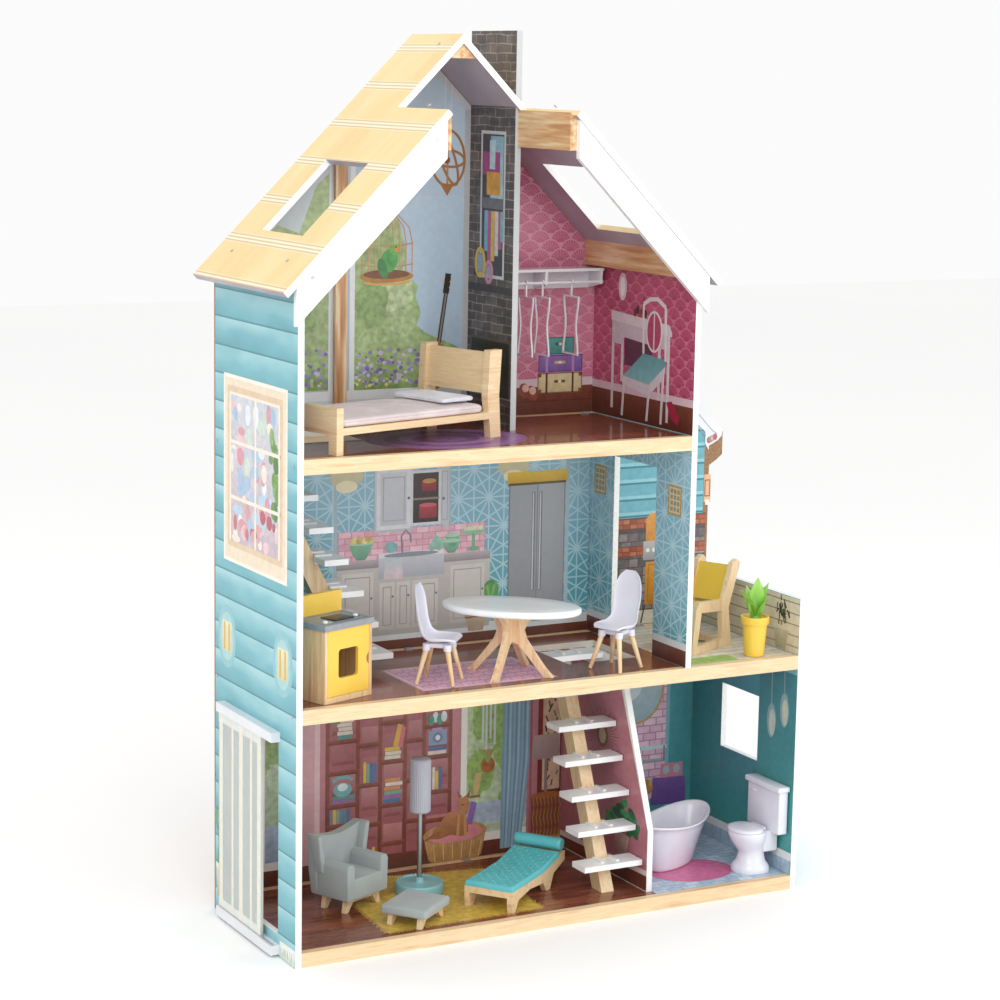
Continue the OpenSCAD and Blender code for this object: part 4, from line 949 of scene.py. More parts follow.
# dog in its basket
p.shape([(328, 62), (432, 62), (424, 24), (400, 14), (356, 14), (336, 26)], "c9a06c", 8, 0.4, low="9c7444")
p.disc(380, 62, 53, 17, "b98e5c", 9, 0.3)
p.disc(380, 61, 46, 13, "d58a92", 10, 0.2)
for k in range(12):
    p.stroke(
        [(336 + k * 8, 52 - abs(k - 5.5)), (340 + k * 7.2, 22)], 1.4, ["a57e4c", "dcb985"][k % 2], 10, 0.2
    )
p.shape([(398, 74), (408, 72), (416, 104), (406, 108)], "8d6bb0", 10, 0.2)
dog, dog_dark = "b9825a", "9a6642"
p.shape([
    (338, 58), (344, 70), (356, 82), (364, 92), (372, 96), (378, 92), (386, 96), (396, 92), (400, 80),
    (402, 62), (392, 56),
    (372, 60), (352, 56),
], dog, 11, 0.3, low=dog_dark)
p.shape([(384, 90), (386, 108), (380, 116), (390, 114), (398, 118), (404, 104), (400, 88)], dog, 12, 0.3)
p.shape([(386, 114), (382, 126), (391, 116)], dog_dark, 13)
p.shape([(397, 116), (404, 126), (403, 112)], dog_dark, 13)
p.stroke([(386, 90), (384, 58)], 4.5, "c79268", 13)
p.stroke([(396, 88), (397, 56)], 4.5, "c79268", 13)
p.stroke([(330, 56), (342, 62), (356, 66)], 4, dog_dark, 13)
p.disc(392, 104, 1.2, 1.2, "2d211c", 14)
p.done()

# bathroom: teal wall, pink tiles, a round mirror, a glass shelf, a purple towel and two hanging bulbs
p = Print("bathroom_wall_print", on_back)
p.rect(568.3, 35, 790.7, 320, "4f9ba6", 0, 0.12, low="4a9697")
p.rect(568.3, 21, 790.7, 26, "93aabd", 1, 0.3)
p.rect(568.3, 26, 790.7, 37, "dfe3e4", 1, 0.05)
p.rect(568.3, 72, 744, 320, "a77f96", 1, 0.1)
for row in range(21):
    v = 73.5 + row * 11.7
    for i in range(9):
        u = 569 + i * 22.5 - (11 if row % 2 else 0)
        a, b = max(u, 569), min(u + 20.8, 743.6)
        if b - a > 3:
            p.rect(a, v, b, v + 10.1, ["ddb9cb", "d5adc2", "e3c4d3"][(i + 2 * row) % 3], 2, 0.2)
p.rect(744, 37, 750, 320, "79b3bb", 2, 0.05)
p.disc(690, 252, 49, 58, "b59a5c", 3, 0.2, n=56)
p.disc(690, 252, 45, 54, "b9cdd3", 4, 0.15, low="93afb8", n=56)
p.disc(678, 262, 22, 30, "cbdadd", 5, 0.1, n=40)
p.rect(690, 151, 746, 157, "bcd6d9", 4, 0.05)
p.rect(690, 132, 746, 136, "9aa9ad", 4)
for u in (696, 740):
    p.rect(u, 132, u + 3, 156, "7d898d", 5)
p.shape([(722, 106), (781, 102), (783, 60), (720, 62)], "7e5ba3", 4, 0.2, low="68468e")
p.rect(736, 104, 776, 126, "d5879b", 5, 0.1)
p.disc(746, 116, 6, 7, "9fc3c6", 6)
p.disc(765, 116, 6, 7, "9fc3c6", 6)
for k in range(9):
    a = k * math.tau / 9
    p.disc(708 + 9 * math.cos(a), 92 + 7 * math.sin(a), 6, 7, ["b98844", "d2a765"][k % 2], 6, 0.4)
p.done()

p = Print("bathroom_side_print", lambda u, v, h: at(791 - h, u, v))
# The side wall's teal is drawn darker than the back wall's beside and below the window, and paler above it:
# painted shade and painted light on one paint.
for u0, v0, u1, v1 in (
    (0.5, 52, 95.5, 320), (194.5, 52, 275.7, 320), (95.5, 52, 194.5, 169.5), (95.5, 268.5, 194.5, 320)
):
    shade = 0.15
    p.rect(
        u0, v0, u1, v1, "44848f" if v0 < 200 else "5b9dae", 0, shade, low="3f9490" if v0 < 100 else "4c929f"
    )
p.rect(0.5, 21, 275.7, 42, "a7bdce", 1, 0.3)
p.rect(0.5, 41, 275.7, 53, "dfe3e4", 1, 0.05)
for k in range(12):
    p.stroke([(2 + 23 * k, 22), (2 + 23 * k, 41)], 0.9, "7d97aa", 2)
for u, v in ((62, 246), (30, 268)):
    p.stroke([(u, v), (u + 2, 320)], 1.3, "a9b3ae", 2)
    p.disc(u, v - 6, 11, 26, "86a9ac", 2, 0.2)
    p.disc(u - 2, v - 9, 8, 20, "b9c7bb", 3, 0.2)
    p.stroke([(u, v + 6), (u, v - 20)], 1.6, "d9cf9c", 4)
p.done()

# balcony: teal siding over brick and stone, a yellow grill, a beige parapet with a dark pot plant
p = Print("balcony_back_print", on_back)
p.rect(607.3, 351, 799, 668, "67aab8", 0, 0.2, low="72b4c1")
for k in range(6):
    v = 516 + k * 25
    p.rect(607.3, v, 799, v + 3, "397f8c", 1, 0.1)
    p.rect(607.3, v + 3, 799, v + 8, "8fc9d3", 1, 0.1)
p.rect(607.3, 372, 804, 515, "57494a", 1, 0.4)
stones = random.Random(21)
for row in range(9):
    v = 374 + row * 13.2
    u = 608 + (row % 2) * 5
    while u < 800:
        w = stones.uniform(12, 26)
        p.rect(
            u, v, min(u + w, 803.5), v + 11.6,
            stones.choice(["8f8583", "6f6767", "9c9390", "5f5a5b", "857a74"]), 2, 0.5
        )
        u += w + 1.6
for v0 in (498, 456):
    p.rect(607.3, v0, 804, v0 + 16, "7c3d2b", 3, 0.2)
    for i in range(16):
        p.rect(
            609 + i * 12.3, v0 + 1.2, 620 + i * 12.3, v0 + 7, ["b0603f", "9c5036", "bd7150"][i % 3], 4, 0.3
        )
        p.rect(
            603.5 + i * 12.3 + 5, v0 + 8.2, 614.5 + i * 12.3 + 5, v0 + 14.6,
            ["a85a3c", "bd7150", "964a32"][i % 3], 4, 0.3
        )
p.rect(607.3, 351, 804, 372, "d5cfc0", 3, 0.2)
p.shape(
    [(698, 478), (742, 476), (742, 512), (734, 520), (706, 521), (698, 512)], "dc9a3c", 5, 0.2, low="c9862d"
)
p.rect(694, 449, 744, 478, "b9b9b6", 5, 0.1, low="97989a")
for k in range(4):
    p.disc(702 + k * 11, 464, 3.4, 3.4, "e8e6e2", 6)
p.rect(699, 380, 740, 446, "d8962f", 5, 0.2, low="c07f22")
p.frame(703, 384, 736, 442, 1.6, "b17320", 6)
p.stroke([(699, 380), (693, 352)], 2.4, "3c3a3a", 5)
p.stroke([(740, 380), (746, 352)], 2.4, "3c3a3a", 5)
p.rect(800, 531, 812, 574, "e6b48c", 2, 0.1)
p.frame(801, 540, 811, 566, 1.6, "7a5a4c", 3)
p.rect(803, 527, 810, 535, "f3efe9", 3)
p.done()

eave_back = Finish("printed_white_eave", rough=0.4, coat=0.1)
eave_back.colour(eave_back.mix(eave_back.noise(14, (1, 1, 4)), ink("d9d9de"), ink("efeef2")))
p = Print("balcony_eave_print", lambda u, v, h: at(u, 276 - 0.8 - h, v), eave_back)
p.shape(
    [
        (607.5, 669), (607.5, 718.5), (755, 718.5), (829, 644), (829, 633), (822, 626), (806, 618),
        (806, 611), (799, 622), (799, 640), (744, 688), (700, 690)
    ],
    "ffffff", 1
)
p.done()
p = Print("balcony_eave_lines_print", lambda u, v, h: at(u, 276 - 1.0 - h, v))
p.stroke([(607.5, 706), (748, 706), (812, 641), (820, 636)], 1.8, "b4b2bc", 1)
p.stroke([(607.5, 690), (742, 690), (800, 634)], 1.8, "a3a1ad", 1)
for k in range(4):
    p.disc(806 + k * 3.5, 627 + k * 1.5, 4, 5, ["b0606a", "7f9a6f", "d6a0a6"][k % 3], 2, 0.3)
p.done()

p = Print("balcony_parapet_print", lambda u, v, h: at(791 - h, u, v))
p.rect(0.5, 351, 275.7, 432, "dcd3bd", 0, 0.15, low="cfc5ab")
for k in range(5):
    p.rect(0.5, 360 + k * 16, 275.7, 362 + k * 16, "9c9179", 1, 0.1)
for k in range(30):
    a = stones.uniform(0, math.tau)
    d = stones.uniform(0, 1)
    u, v = 45 + 21 * d * math.cos(a), 402 + 22 * d * math.sin(a)
    p.stroke(
        [(u, v), (u + stones.uniform(-7, 7), min(v + stones.uniform(4, 12), 431))], 2.2,
        ["33412f", "4c6142", "232b22"][k % 3], 3
    )
p.shape([(26, 384), (66, 384), (58, 352), (34, 352)], "c9c2a6", 4, 0.2, low="a49c80")
p.rect(24, 381, 68, 387, "dad4bb", 5)
p.done()


# ---- Partitions ----
# The chimney board parts the bedroom from the closet and comes up through the roof, printed as dark
# stone with a window of hangings. The bathroom board leans back above the tub, pink on its left face.
chimney = Finish("chimney_board", rough=0.45, coat=0.08)
places = chimney.parts()
wobble = chimney.calc("MULTIPLY", chimney.calc("SUBTRACT", chimney.noise(30), 0.5), 0.006)
tone, joint = chimney.bricks(
    chimney.calc("ADD", places[1], wobble), chimney.calc("ADD", places[2], wobble), 0.03, 0.0125, 0.0008,
    (ink("6f6664"), ink("504948"), ink("9a928d")), 0.4,
)
patch = chimney.band(chimney.noise(38, (1, 1, 1.6), 3), 0.38, 0.66)
rock = chimney.mix(chimney.calc("MULTIPLY", patch, 0.6), tone, ink("332e31"))
chimney_nx = chimney.calc("ABSOLUTE", chimney.parts(chimney.facing)[0])
chimney.colour(chimney.mix(chimney.band(chimney_nx, 0.8, 0.9), ink("bfc3c3"), rock))
chimney.relief(joint, 0.0001)
dress(chimney, "chimney_partition")
dress(white_board, "bathroom_partition")

# The closet's face of the chimney board takes the darker copy of the rose paper: painted shade.
p = Print("closet_partition_paper_print", lambda u, v, h: at(397 + h, u, v), rose_paper_in_painted_shade, 0.04)
p.shape([(144.5, 681), (275.7, 681), (275.7, 1100), (144.5, 1100)], "ffffff", 0)
p.done()
p = Print("chimney_hanging_print", lambda u, v, h: at(388 - h, u, v))
p.frame(170, 888, 242, 1093, 4.5, "c9cacc", 2)
p.rect(174, 892, 238, 1089, "3d3b42", 1, 0.4)
p.rect(176, 1000, 214, 1086, "87b0c2", 2, 0.3, low="a9c6cf")
p.rect(186, 1032, 236, 1064, "9c3f7d", 3, 0.3)
p.rect(184, 1004, 224, 1036, "d09a42", 4, 0.4)
p.rect(200, 1040, 216, 1080, "b5d0d8", 5, 0.3)
p.rect(174, 985, 238, 1000, "6b6a70", 5, 0.4)
for k, (u, v0, tone) in enumerate(
    (
        (224, 925, "7fa9bc"), (214, 905, "b0568a"), (204, 912, "d4b04c"), (193, 920, "c9c7c4"),
        (183, 930, "b0568a"), (177, 940, "7fb0b5")
    )
):
    p.rect(u - 5, v0, u + 5, 982, tone, 4, 0.3)
for u, v, a, b, tone in ((240, 908, 13, 19, "d0b04b"), (214, 896, 10, 14, "c58aa0")):
    ring = [(u + a * math.cos(k * math.tau / 28), v + b * math.sin(k * math.tau / 28)) for k in range(29)]
    p.stroke(ring, 6, tone, 6)
    p.disc(u, v, a - 4, b - 5, "8fa3b5", 5, 0.3)
p.rect(150, 722, 262, 800, "211f22", 1, 0.3)
p.rect(162, 728, 250, 786, "2f3b36", 2, 0.6, low="1d2421")
p.frame(146, 718, 266, 804, 4, "57504f", 3)
p.stroke([(144.5, 722), (275, 722)], 2, "8d8884", 4)
p.rect(146, 868, 275, 878, "3b3639", 3, 0.4)
p.done()

p = Print("living_partition_print", lambda u, v, h: at(559 - h, u, v))
# The pink is drawn darker than on the living room's back wall: painted shade on the partition's face.
p.shape(
    [(26, 21), (26, 110.5), (115.5, 320), (263, 320), (275.5, 300), (275.5, 21)], "bd7f8b", 0, 0.15,
    low="a96672"
)
p.shape([(26, 21), (26, 43), (275.5, 37), (275.5, 21)], "6b3829", 1, 0.35)
p.shape([(26, 43), (26, 51), (275.5, 45), (275.5, 37)], "d9c7c4", 2, 0.05)
for k in range(40):
    a = k * math.tau / 40
    far = 46 if k % 2 else 36
    p.stroke(
        [
            (157 + 12 * math.cos(a), 220 + 11 * math.sin(a)),
            (157 + far * math.cos(a), 220 + far * 0.92 * math.sin(a))
        ],
        0.9, "6f4a35", 2
    )
p.disc(157, 220, 15, 17, "7c5230", 3, 0.2)
p.disc(157, 220, 10, 12, "b7a58f", 4, 0.1)
r = random.Random(3)
for k in range(26):
    a = r.uniform(0.1, math.pi - 0.1)
    far = r.uniform(10, 48)
    u, v = 96 + far * math.cos(a), 92 + far * math.sin(a) * 0.9
    p.disc(u, v, 11, 6, r.choice(["2f6b46", "3f8a58", "24573a"]), 3 + k % 3, 0.4, turn=r.uniform(-1, 1))
p.shape([(76, 88), (116, 88), (110, 56), (84, 56)], "c9a6a0", 6, 0.3, low="8d6f6b")
for k in range(5):
    p.stroke([(90, 58), (80 + k * 8, 48)], 1, "8d6f6b", 7)
p.done()
p = Print("bathroom_partition_print", lambda u, v, h: at(568 + h, u, v))
p.shape([(26, 21), (26, 110.5), (115.5, 320), (263, 320), (275.5, 300), (275.5, 21)], "a77f96", 0, 0.1)
for row in range(24):
    v = 22 + row * 12.3
    lo = 26 if v < 100 else 26 + (v + 11 - 100) * 0.43
    for i in range(12):
        a, b = max(27 + i * 22 - (11 if row % 2 else 0), lo + 1), min(
            27 + i * 22 - (11 if row % 2 else 0) + 20.6, 262
        )
        if b - a > 4:
            p.rect(a, v, b, v + 10.8, ["ddb9cb", "d5adc2", "e3c4d3"][(i + 2 * row) % 3], 1, 0.2)
p.done()

# the faces of the left wall inside the rooms, and the two landings' wall strips
p = Print("left_bedroom_print", lambda u, v, h: at(9 + h, u, v))
p.rect(0.5, 681, 275.5, 915, "bfd3e2", 0, 0.06, low="a9bccd")
p.rect(0.5, 681, 275.5, 716, "6d3b2b", 1, 0.35)
p.rect(0.5, 716, 275.5, 729, "dfe2e4", 2, 0.05)
p.spots(6, 731, 270, 770, 90, 3.0, ["8f7fb8", "a3b97c", "7a6aa6", "c7bddb"], 2, 31)
p.done()
p = Print("left_kitchen_paper_print", lambda u, v, h: at(9 + h, u, v), blue_paper_side, 0.04)
p.rect(0.5, 378, 275.5, 659, "ffffff", 0)
p.done()
p = Print("left_kitchen_print", lambda u, v, h: at(9 + h, u, v))
p.rect(0.5, 351, 275.5, 366, "6b3829", 1, 0.35)
p.rect(0.5, 366, 275.5, 378, "cfd4d6", 1, 0.05)
p.done()
p = Print("left_living_print", lambda u, v, h: at(9 + h, u, v))
for u0, v0, u1, v1 in ((0.5, 21, 56.5, 320), (197.5, 21, 275.5, 320), (56.5, 298.5, 197.5, 320)):
    p.rect(u0, v0, u1, v1, "c58a92", 0, 0.12, low="b3737e")
for u0, u1 in ((0.5, 56.5), (197.5, 275.5)):
    p.rect(u0, 21, u1, 44, "6b3829", 1, 0.35)
    p.rect(u0, 44, u1, 54, "d9c7c4", 2, 0.05)
p.done()


# ---- Roof ----
# Two boards that meet at the ridge, cream on top with printed plank lines and, as painted shade, mauve grey
# below, with white edges and bargeboards. Small screws with domed heads hold them to the cleats.
roof = Finish("printed_roof_board", rough=0.42, coat=0.12)
x, y, z = roof.parts()
nx, _, nz = roof.parts(roof.facing)
off_mid = roof.calc("ABSOLUTE", roof.calc("SUBTRACT", x, at(tower_mid, 0, 0).x))
from_side = roof.calc("SUBTRACT", tower_mid / 1000, off_mid)
phase = roof.calc("FRACT", roof.calc("DIVIDE", roof.calc("SUBTRACT", from_side, 0.027 - 0.0257), 0.0514))
line = None
for middle, wide in ((0.42, 0.014), (0.5, 0.014), (0.58, 0.014)):
    off = roof.calc("ABSOLUTE", roof.calc("SUBTRACT", phase, middle))
    one = roof.calc("SUBTRACT", 1.0, roof.band(off, wide * 0.6, wide * 1.6))
    line = one if line is None else roof.calc("MAXIMUM", line, one)
halo = roof.calc(
    "SUBTRACT", 1.0, roof.band(roof.calc("ABSOLUTE", roof.calc("SUBTRACT", phase, 0.5)), 0.09, 0.13)
)
cream = roof.steps(roof.noise(7, (1, 3, 1), 3), [(0.3, ink("ebcb8c")), (0.7, ink("f2d9a0"))])
cream = roof.mix(roof.calc("MULTIPLY", halo, 0.6), cream, ink("fdf6e2"))
cream = roof.mix(roof.calc("MULTIPLY", line, 0.75), cream, ink("c2a06a"))
# The underside's mauve grey is painted shade over the board's own colour.
under = roof.steps(roof.noise(12, (1, 1, 1), 3), [(0.3, ink("9b8c99")), (0.7, ink("b3a7b0"))])
top_side = roof.band(nz, 0.5, 0.6)
low_side = roof.band(roof.calc("MULTIPLY", nz, -1.0), 0.5, 0.6)
across = roof.band(roof.calc("ABSOLUTE", nx), 0.5, 0.6)
skin = roof.mix(roof.calc("MULTIPLY", top_side, across), ink("eeefee"), cream)
roof.colour(roof.mix(roof.calc("MULTIPLY", low_side, across), skin, under))
roof.relief(roof.noise(260), 0.00008)
dress(roof, "roof_left_panel", "roof_right_panel")

barge = Finish("white_bargeboard", rough=0.38, coat=0.2)
barge.colour(barge.mix(barge.noise(6, (1, 1, 1), 3), ink("eceeee"), ink("f8f8f7")))
barge.relief(barge.noise(200), 0.0001)
dress(barge, "left_bargeboard", "right_bargeboard")

zinc = Finish("zinc_screw", rough=0.28, metal=1.0)
zinc.colour(zinc.mix(zinc.noise(500), ink("a9abad"), ink("d6d8d9")))
dress(zinc, "screws")

clear = Finish("clear_clip", rough=0.15, see_through=0.6)
clear.colour(clear.mix(clear.noise(90), ink("c9cdd0"), ink("e8ebec")))
dress(clear, "panel_clips")


# ---- Stairs ----
# Each stair is one planed pine stringer with white lacquered treads across it, like a ladder with a
# single rail. Both keep their CAD shapes under a lacquer with a faint mottle.
def mottled(name, dark, light, patch, fine=None, depth=0.0, **settings):
    """A plain paint or moulding: two near tones in soft patches, and a fine surface grain if wanted."""
    f = Finish(name, **settings)
    f.colour(f.mix(f.noise(*(patch if isinstance(patch, tuple) else (patch,))), ink(dark), ink(light)))
    if fine is not None:
        f.relief(f.noise(*(fine if isinstance(fine, tuple) else (fine,))), depth)
    return f


def white_lacquer(name, low="e3e5e8", high="f4f5f6", rough=0.3):
    return mottled(name, low, high, (40, (1, 1, 1), 3), 350, 0.00005, rough=rough, coat=0.25)


tread_white = white_lacquer("white_lacquered_treads")
dress(tread_white, "lower_stair_treads", "upper_stair_treads")
dress(pine_z, "lower_stair_stringer", "upper_stair_stringer")


# ---- Sliding side door ----
# A frosted sheet with a fine printed mesh, and cream glazing bars made as thin raised shapes. It runs
# between two white tracks.
moulded_white = white_lacquer("moulded_white", "dcdee3", "eeeff2", 0.25)
dress(moulded_white, "door_tracks")

frosted = Finish("frosted_sheet", rough=0.35, coat=0.2, see_through=0.35)
x, y, z = frosted.parts()
mesh_pitch = 0.0035


def off_thread(place):
    """How far a place is from the middle of its mesh opening, as a share of the pitch."""
    cell = frosted.calc("FRACT", frosted.calc("DIVIDE", place, mesh_pitch))
    return frosted.calc("ABSOLUTE", frosted.calc("SUBTRACT", cell, 0.5))


weave = frosted.band(frosted.calc("MAXIMUM", off_thread(y), off_thread(z)), 0.38, 0.48)
cloudy = frosted.mix(frosted.noise(7, (1, 1, 3), 2), ink("cdd8d6"), ink("e6eae2"))
frosted.colour(frosted.mix(frosted.calc("MULTIPLY", weave, 0.5), cloudy, ink("a9b5b4")))
frosted.relief(weave, 0.0001)
dress(frosted, "sliding_door")
door_lo, door_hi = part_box("sliding_door")
bar_cream = "e9e5d6"
p = Print("sliding_door_bars", lambda u, v, h: Vector((door_lo.x - h / 1000, u / 1000, v / 1000)))
y0, y1, z0, z1 = door_lo.y * 1000, door_hi.y * 1000, door_lo.z * 1000 + 9, door_hi.z * 1000 - 9
door_w = y1 - y0
for share in (0.0, 0.2, 0.42, 0.46, 0.64, 0.9):
    wide = 12 if share in (0.0, 0.9) else 7
    p.rect(y0 + share * door_w, z0, y0 + share * door_w + wide, z1, bar_cream, 2, 0.1)
for v in (z0, z1 - 12):
    p.rect(y0, v, y1, v + 12, "dfe2dd", 1, 0.1)
p.done(slot="frosted", body="sliding_door")


# ---- Closet shelf and hangers ----
# A white moulded shelf with its brackets and rod, and three hangers that swing on the rod. They keep
# their CAD shapes, in the plastic of the door's tracks.
dress(moulded_white, "closet_shelf", "hanger_a", "hanger_b", "hanger_c")


# ---- Bed ----
# A pine bed with a low foot board and a taller head board. The mattress is a thin pinkish pad and the
# pillow a flat white one, each a closed loft with a seam line round its middle.
def stand(x, y, level, yaw):
    """The frame of a piece that stands on a floor, in millimetres from its own corner or middle."""
    place = Matrix.Translation(at(x, y, level_z[level] + 0.3))
    return place @ Matrix.Rotation(math.radians(yaw), 4, "Z") @ Matrix.Scale(0.001, 4)


class Shell:
    """A closed mesh put together from blocks, boards and lofted forms in a piece's own frame.

    Edges are gathered in a fixed order, and done() settles the order of points and faces."""

    def __init__(self):
        self.mesh = bmesh.new()

    def block(self, lo, hi, soft=1.0, segments=3):
        made = bmesh.ops.create_cube(self.mesh, size=1.0)["verts"]
        for v in made:
            v.co = Vector([lo[k] + (v.co[k] + 0.5) * (hi[k] - lo[k]) for k in range(3)])
        edges = list(dict.fromkeys(e for v in made for e in v.link_edges))
        bmesh.ops.bevel(self.mesh, geom=edges, offset=soft, segments=segments, profile=0.5, affect="EDGES")

    def board(self, outline, y0, y1, soft=1.0, segments=3):
        """An outline in x and z, with its edges rounded."""
        front = [self.mesh.verts.new((x, y0, z)) for x, z in outline]
        back = [self.mesh.verts.new((x, y1, z)) for x, z in outline]
        faces = [self.mesh.faces.new(front), self.mesh.faces.new(back[::-1])]
        for k in range(len(front)):
            m = (k + 1) % len(front)
            faces.append(self.mesh.faces.new((front[k], back[k], back[m], front[m])))
        edges = list(dict.fromkeys(e for f in faces for e in f.edges))
        bmesh.ops.bevel(self.mesh, geom=edges, offset=soft, segments=segments, profile=0.5, affect="EDGES")

    def loft(self, rings, ends=True):
        rows = [[self.mesh.verts.new(point) for point in ring] for ring in rings]
        n = len(rows[0])
        for low, high in zip(rows, rows[1:]):
            for k in range(n):
                m = (k + 1) % n
                self.mesh.faces.new((low[k], low[m], high[m], high[k]))
        if ends:
            self.mesh.faces.new(rows[0][::-1])
            self.mesh.faces.new(rows[-1])
        else:
            for k in range(n):
                m = (k + 1) % n
                self.mesh.faces.new((rows[-1][k], rows[-1][m], rows[0][m], rows[0][k]))

    def settle_order(self):
        """Numbers points and faces by place. What is made after a bevel reuses freed slots, whose
        order varies from run to run, so without this the same shape is listed in another order."""
        by_place = sorted(self.mesh.verts, key=lambda v: tuple(v.co))
        rank = {v: k for k, v in enumerate(by_place)}
        self.mesh.verts.sort(key=rank.get)
        self.mesh.verts.index_update()
        by_points = sorted(self.mesh.faces, key=lambda f: sorted(v.index for v in f.verts))
        rank = {f: k for k, f in enumerate(by_points)}
        self.mesh.faces.sort(key=rank.get)

    def done(self, name, place, finish, body, slot, stands_for=(), sharp=38):
        bmesh.ops.recalc_face_normals(self.mesh, faces=self.mesh.faces)
        self.settle_order()
        mesh = bpy.data.meshes.new(name)
        self.mesh.to_mesh(mesh)
        self.mesh.free()
        mesh.transform(place)
        mesh.shade_smooth()
        mesh.set_sharp_from_angle(angle=math.radians(sharp))
        mesh.materials.append(finish.mat)
        piece = bpy.data.objects.new(name, mesh)
        bpy.context.scene.collection.objects.link(piece)
        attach(piece, body)
        if stands_for:
            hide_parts(*stands_for)
        return piece


bed_place = stand(61, 13, 2, 16)
bed_l, bed_w, deck_top = 295, 140, 35
dress(pine("pine_bed", 0, also=1), "bed_frame")


def ring_of(l, w, corner_r, n=12):
    """A closed outline in x and y with round corners, about its middle."""
    points = []
    for quarter, (sx, sy) in enumerate(((1, 1), (-1, 1), (-1, -1), (1, -1))):
        for k in range(n + 1):
            t = math.radians(90 * quarter + 90 * k / n)
            points.append(
                (
                    sx * (l / 2 - corner_r) + corner_r * math.cos(t),
                    sy * (w / 2 - corner_r) + corner_r * math.sin(t)
                )
            )
    return points


def pad(name, place, lo, hi, corner_r, crown, pull, finish, body, slot, stands_for):
    """A stuffed pad: sides that pull in between the corners, a seam round the middle and a crowned top."""
    shell = Shell()
    l, w, t = (hi[k] - lo[k] for k in range(3))
    mid = Vector(((lo[0] + hi[0]) / 2, (lo[1] + hi[1]) / 2, lo[2]))
    rings = []
    profile = [
        (0.0, 0.90), (0.02, 0.955), (0.12, 0.985), (0.3, 0.998), (0.46, 1.0), (0.5, 0.988), (0.54, 1.0),
        (0.7, 0.995), (0.84, 0.975), (0.93, 0.93), (0.98, 0.86), (1.0, 0.74),
    ]
    outline = ring_of(l, w, corner_r)
    for up, out in profile:
        ring = []
        for u, v in outline:
            side = 1 - pull * (1 - (2 * u / l) ** 2) if abs(v) > w * 0.4 else 1.0
            end = 1 - pull * (1 - (2 * v / w) ** 2) if abs(u) > l * 0.4 else 1.0
            inset = (1 - out) * min(l, w) / 2
            x = u * end * (1 - 2 * inset / l)
            y = v * side * (1 - 2 * inset / w)
            droop = 1 - 0.35 * up * max(0, abs(2 * u / l) - 0.8) * max(0, abs(2 * v / w) - 0.8) * 12
            ring.append((mid.x + x, mid.y + y, mid.z + t * (1 - crown) * up * droop))
        rings.append(ring)
    for k, share in enumerate((0.5, 0.25, 0.05)):
        rings.append([
            (
                mid.x + (p[0] - mid.x) * share / 0.74, mid.y + (p[1] - mid.y) * share / 0.74,
                mid.z + t * (1 - crown * (0.45, 0.15, 0.0)[k])
            )
            for p in rings[11]
        ])
    shell.loft(rings)
    piece = shell.done(name, place, finish, body, slot, stands_for, sharp=80)
    return piece


def cloth_finish(name, dark, light, pitch):
    """Plain woven cotton: fine threads both ways with their raised crossings paler as a painted highlight,
    soft colour changes that are painted shade in the hollows of its folds and painted light on their ridges,
    and a faint sheen.
    """
    f = Finish(name, rough=0.85, sheen=0.25)
    a, b, _ = f.parts()
    warp = f.calc("SINE", f.calc("MULTIPLY", a, math.tau / pitch))
    weft = f.calc("SINE", f.calc("MULTIPLY", b, math.tau / pitch))
    weave = f.calc("MULTIPLY", warp, weft)
    crease = f.noise(28, (1, 1, 1), 3)
    # Darker where the folds dip and paler where they rise, following the relief: painted shade and painted
    # light.
    tone = f.mix(f.band(crease, 0.3, 0.7), ink(dark), ink(light))
    # Paler where the threads cross and stand up: painted highlight.
    f.colour(f.mix(f.calc("MULTIPLY_ADD", weave, 0.06, 0.06), tone, ink("ffffff")))
    f.relief(f.calc("MULTIPLY_ADD", crease, 3.0, weave), 0.00035)
    return f


mattress_x0, mattress_l = 13.5, bed_l - 41.5
mattress_cloth = cloth_finish("mattress_cotton", "dccbcc", "ecdfdf", 0.0011)
mattress_lo = (mattress_x0, 3, deck_top + 0.4)
mattress_hi = (mattress_x0 + mattress_l, bed_w - 3, deck_top + 15)
pad(
    "mattress_pad", bed_place, mattress_lo, mattress_hi, 7, 0.1, 0.008,
    mattress_cloth, "mattress", "bed_cloth", ["mattress"]
)
pillow_cloth = cloth_finish("pillow_cotton", "dfe0ea", "f3f3f8", 0.0011)
pad(
    "pillow_pad", bed_place, (204, 18, deck_top + 15.8), (266, 122, deck_top + 25.5), 9, 0.35, 0.05,
    pillow_cloth, "pillow", "pillow_cloth", ["pillow"]
)


# ---- Table and chairs ----
# An oval table top with a rounded edge on crossed pine boards, and two moulded shell chairs, each one
# bent sheet on four tapered pine pegs.
def oval(rx, ry, z, n=96):
    return [(rx * math.cos(k * math.tau / n), ry * math.sin(k * math.tau / n), z) for k in range(n)]


table_place = stand(358, 76, 1, -50 + 9)
top = Shell()
edge_r = 4.5
rings = []
for k in range(9):
    t = math.radians(-90 + 180 * k / 8)
    rings.append(
        oval(99 - edge_r + edge_r * math.cos(t), 57 - edge_r + edge_r * math.cos(t), 93 + 5 * math.sin(t))
    )
rings.append(oval(60, 32, 98))
rings.append(oval(3, 2, 98))
top.loft([oval(3, 2, 88)] + rings)
top.done(
    "table_top_board", table_place, white_lacquer("table_white", "e4e7ea", "f5f6f7", 0.18), "table",
    "white_gloss", ["table_top"]
)
dress(pine("pine_table", 2, dark="d8a97e", light="efd0a9"), "table_legs")

shell_white = mottled("moulded_lilac_white", "d3d3e2", "e6e6f0", 20, 240, 0.00006, rough=0.35, coat=0.2)


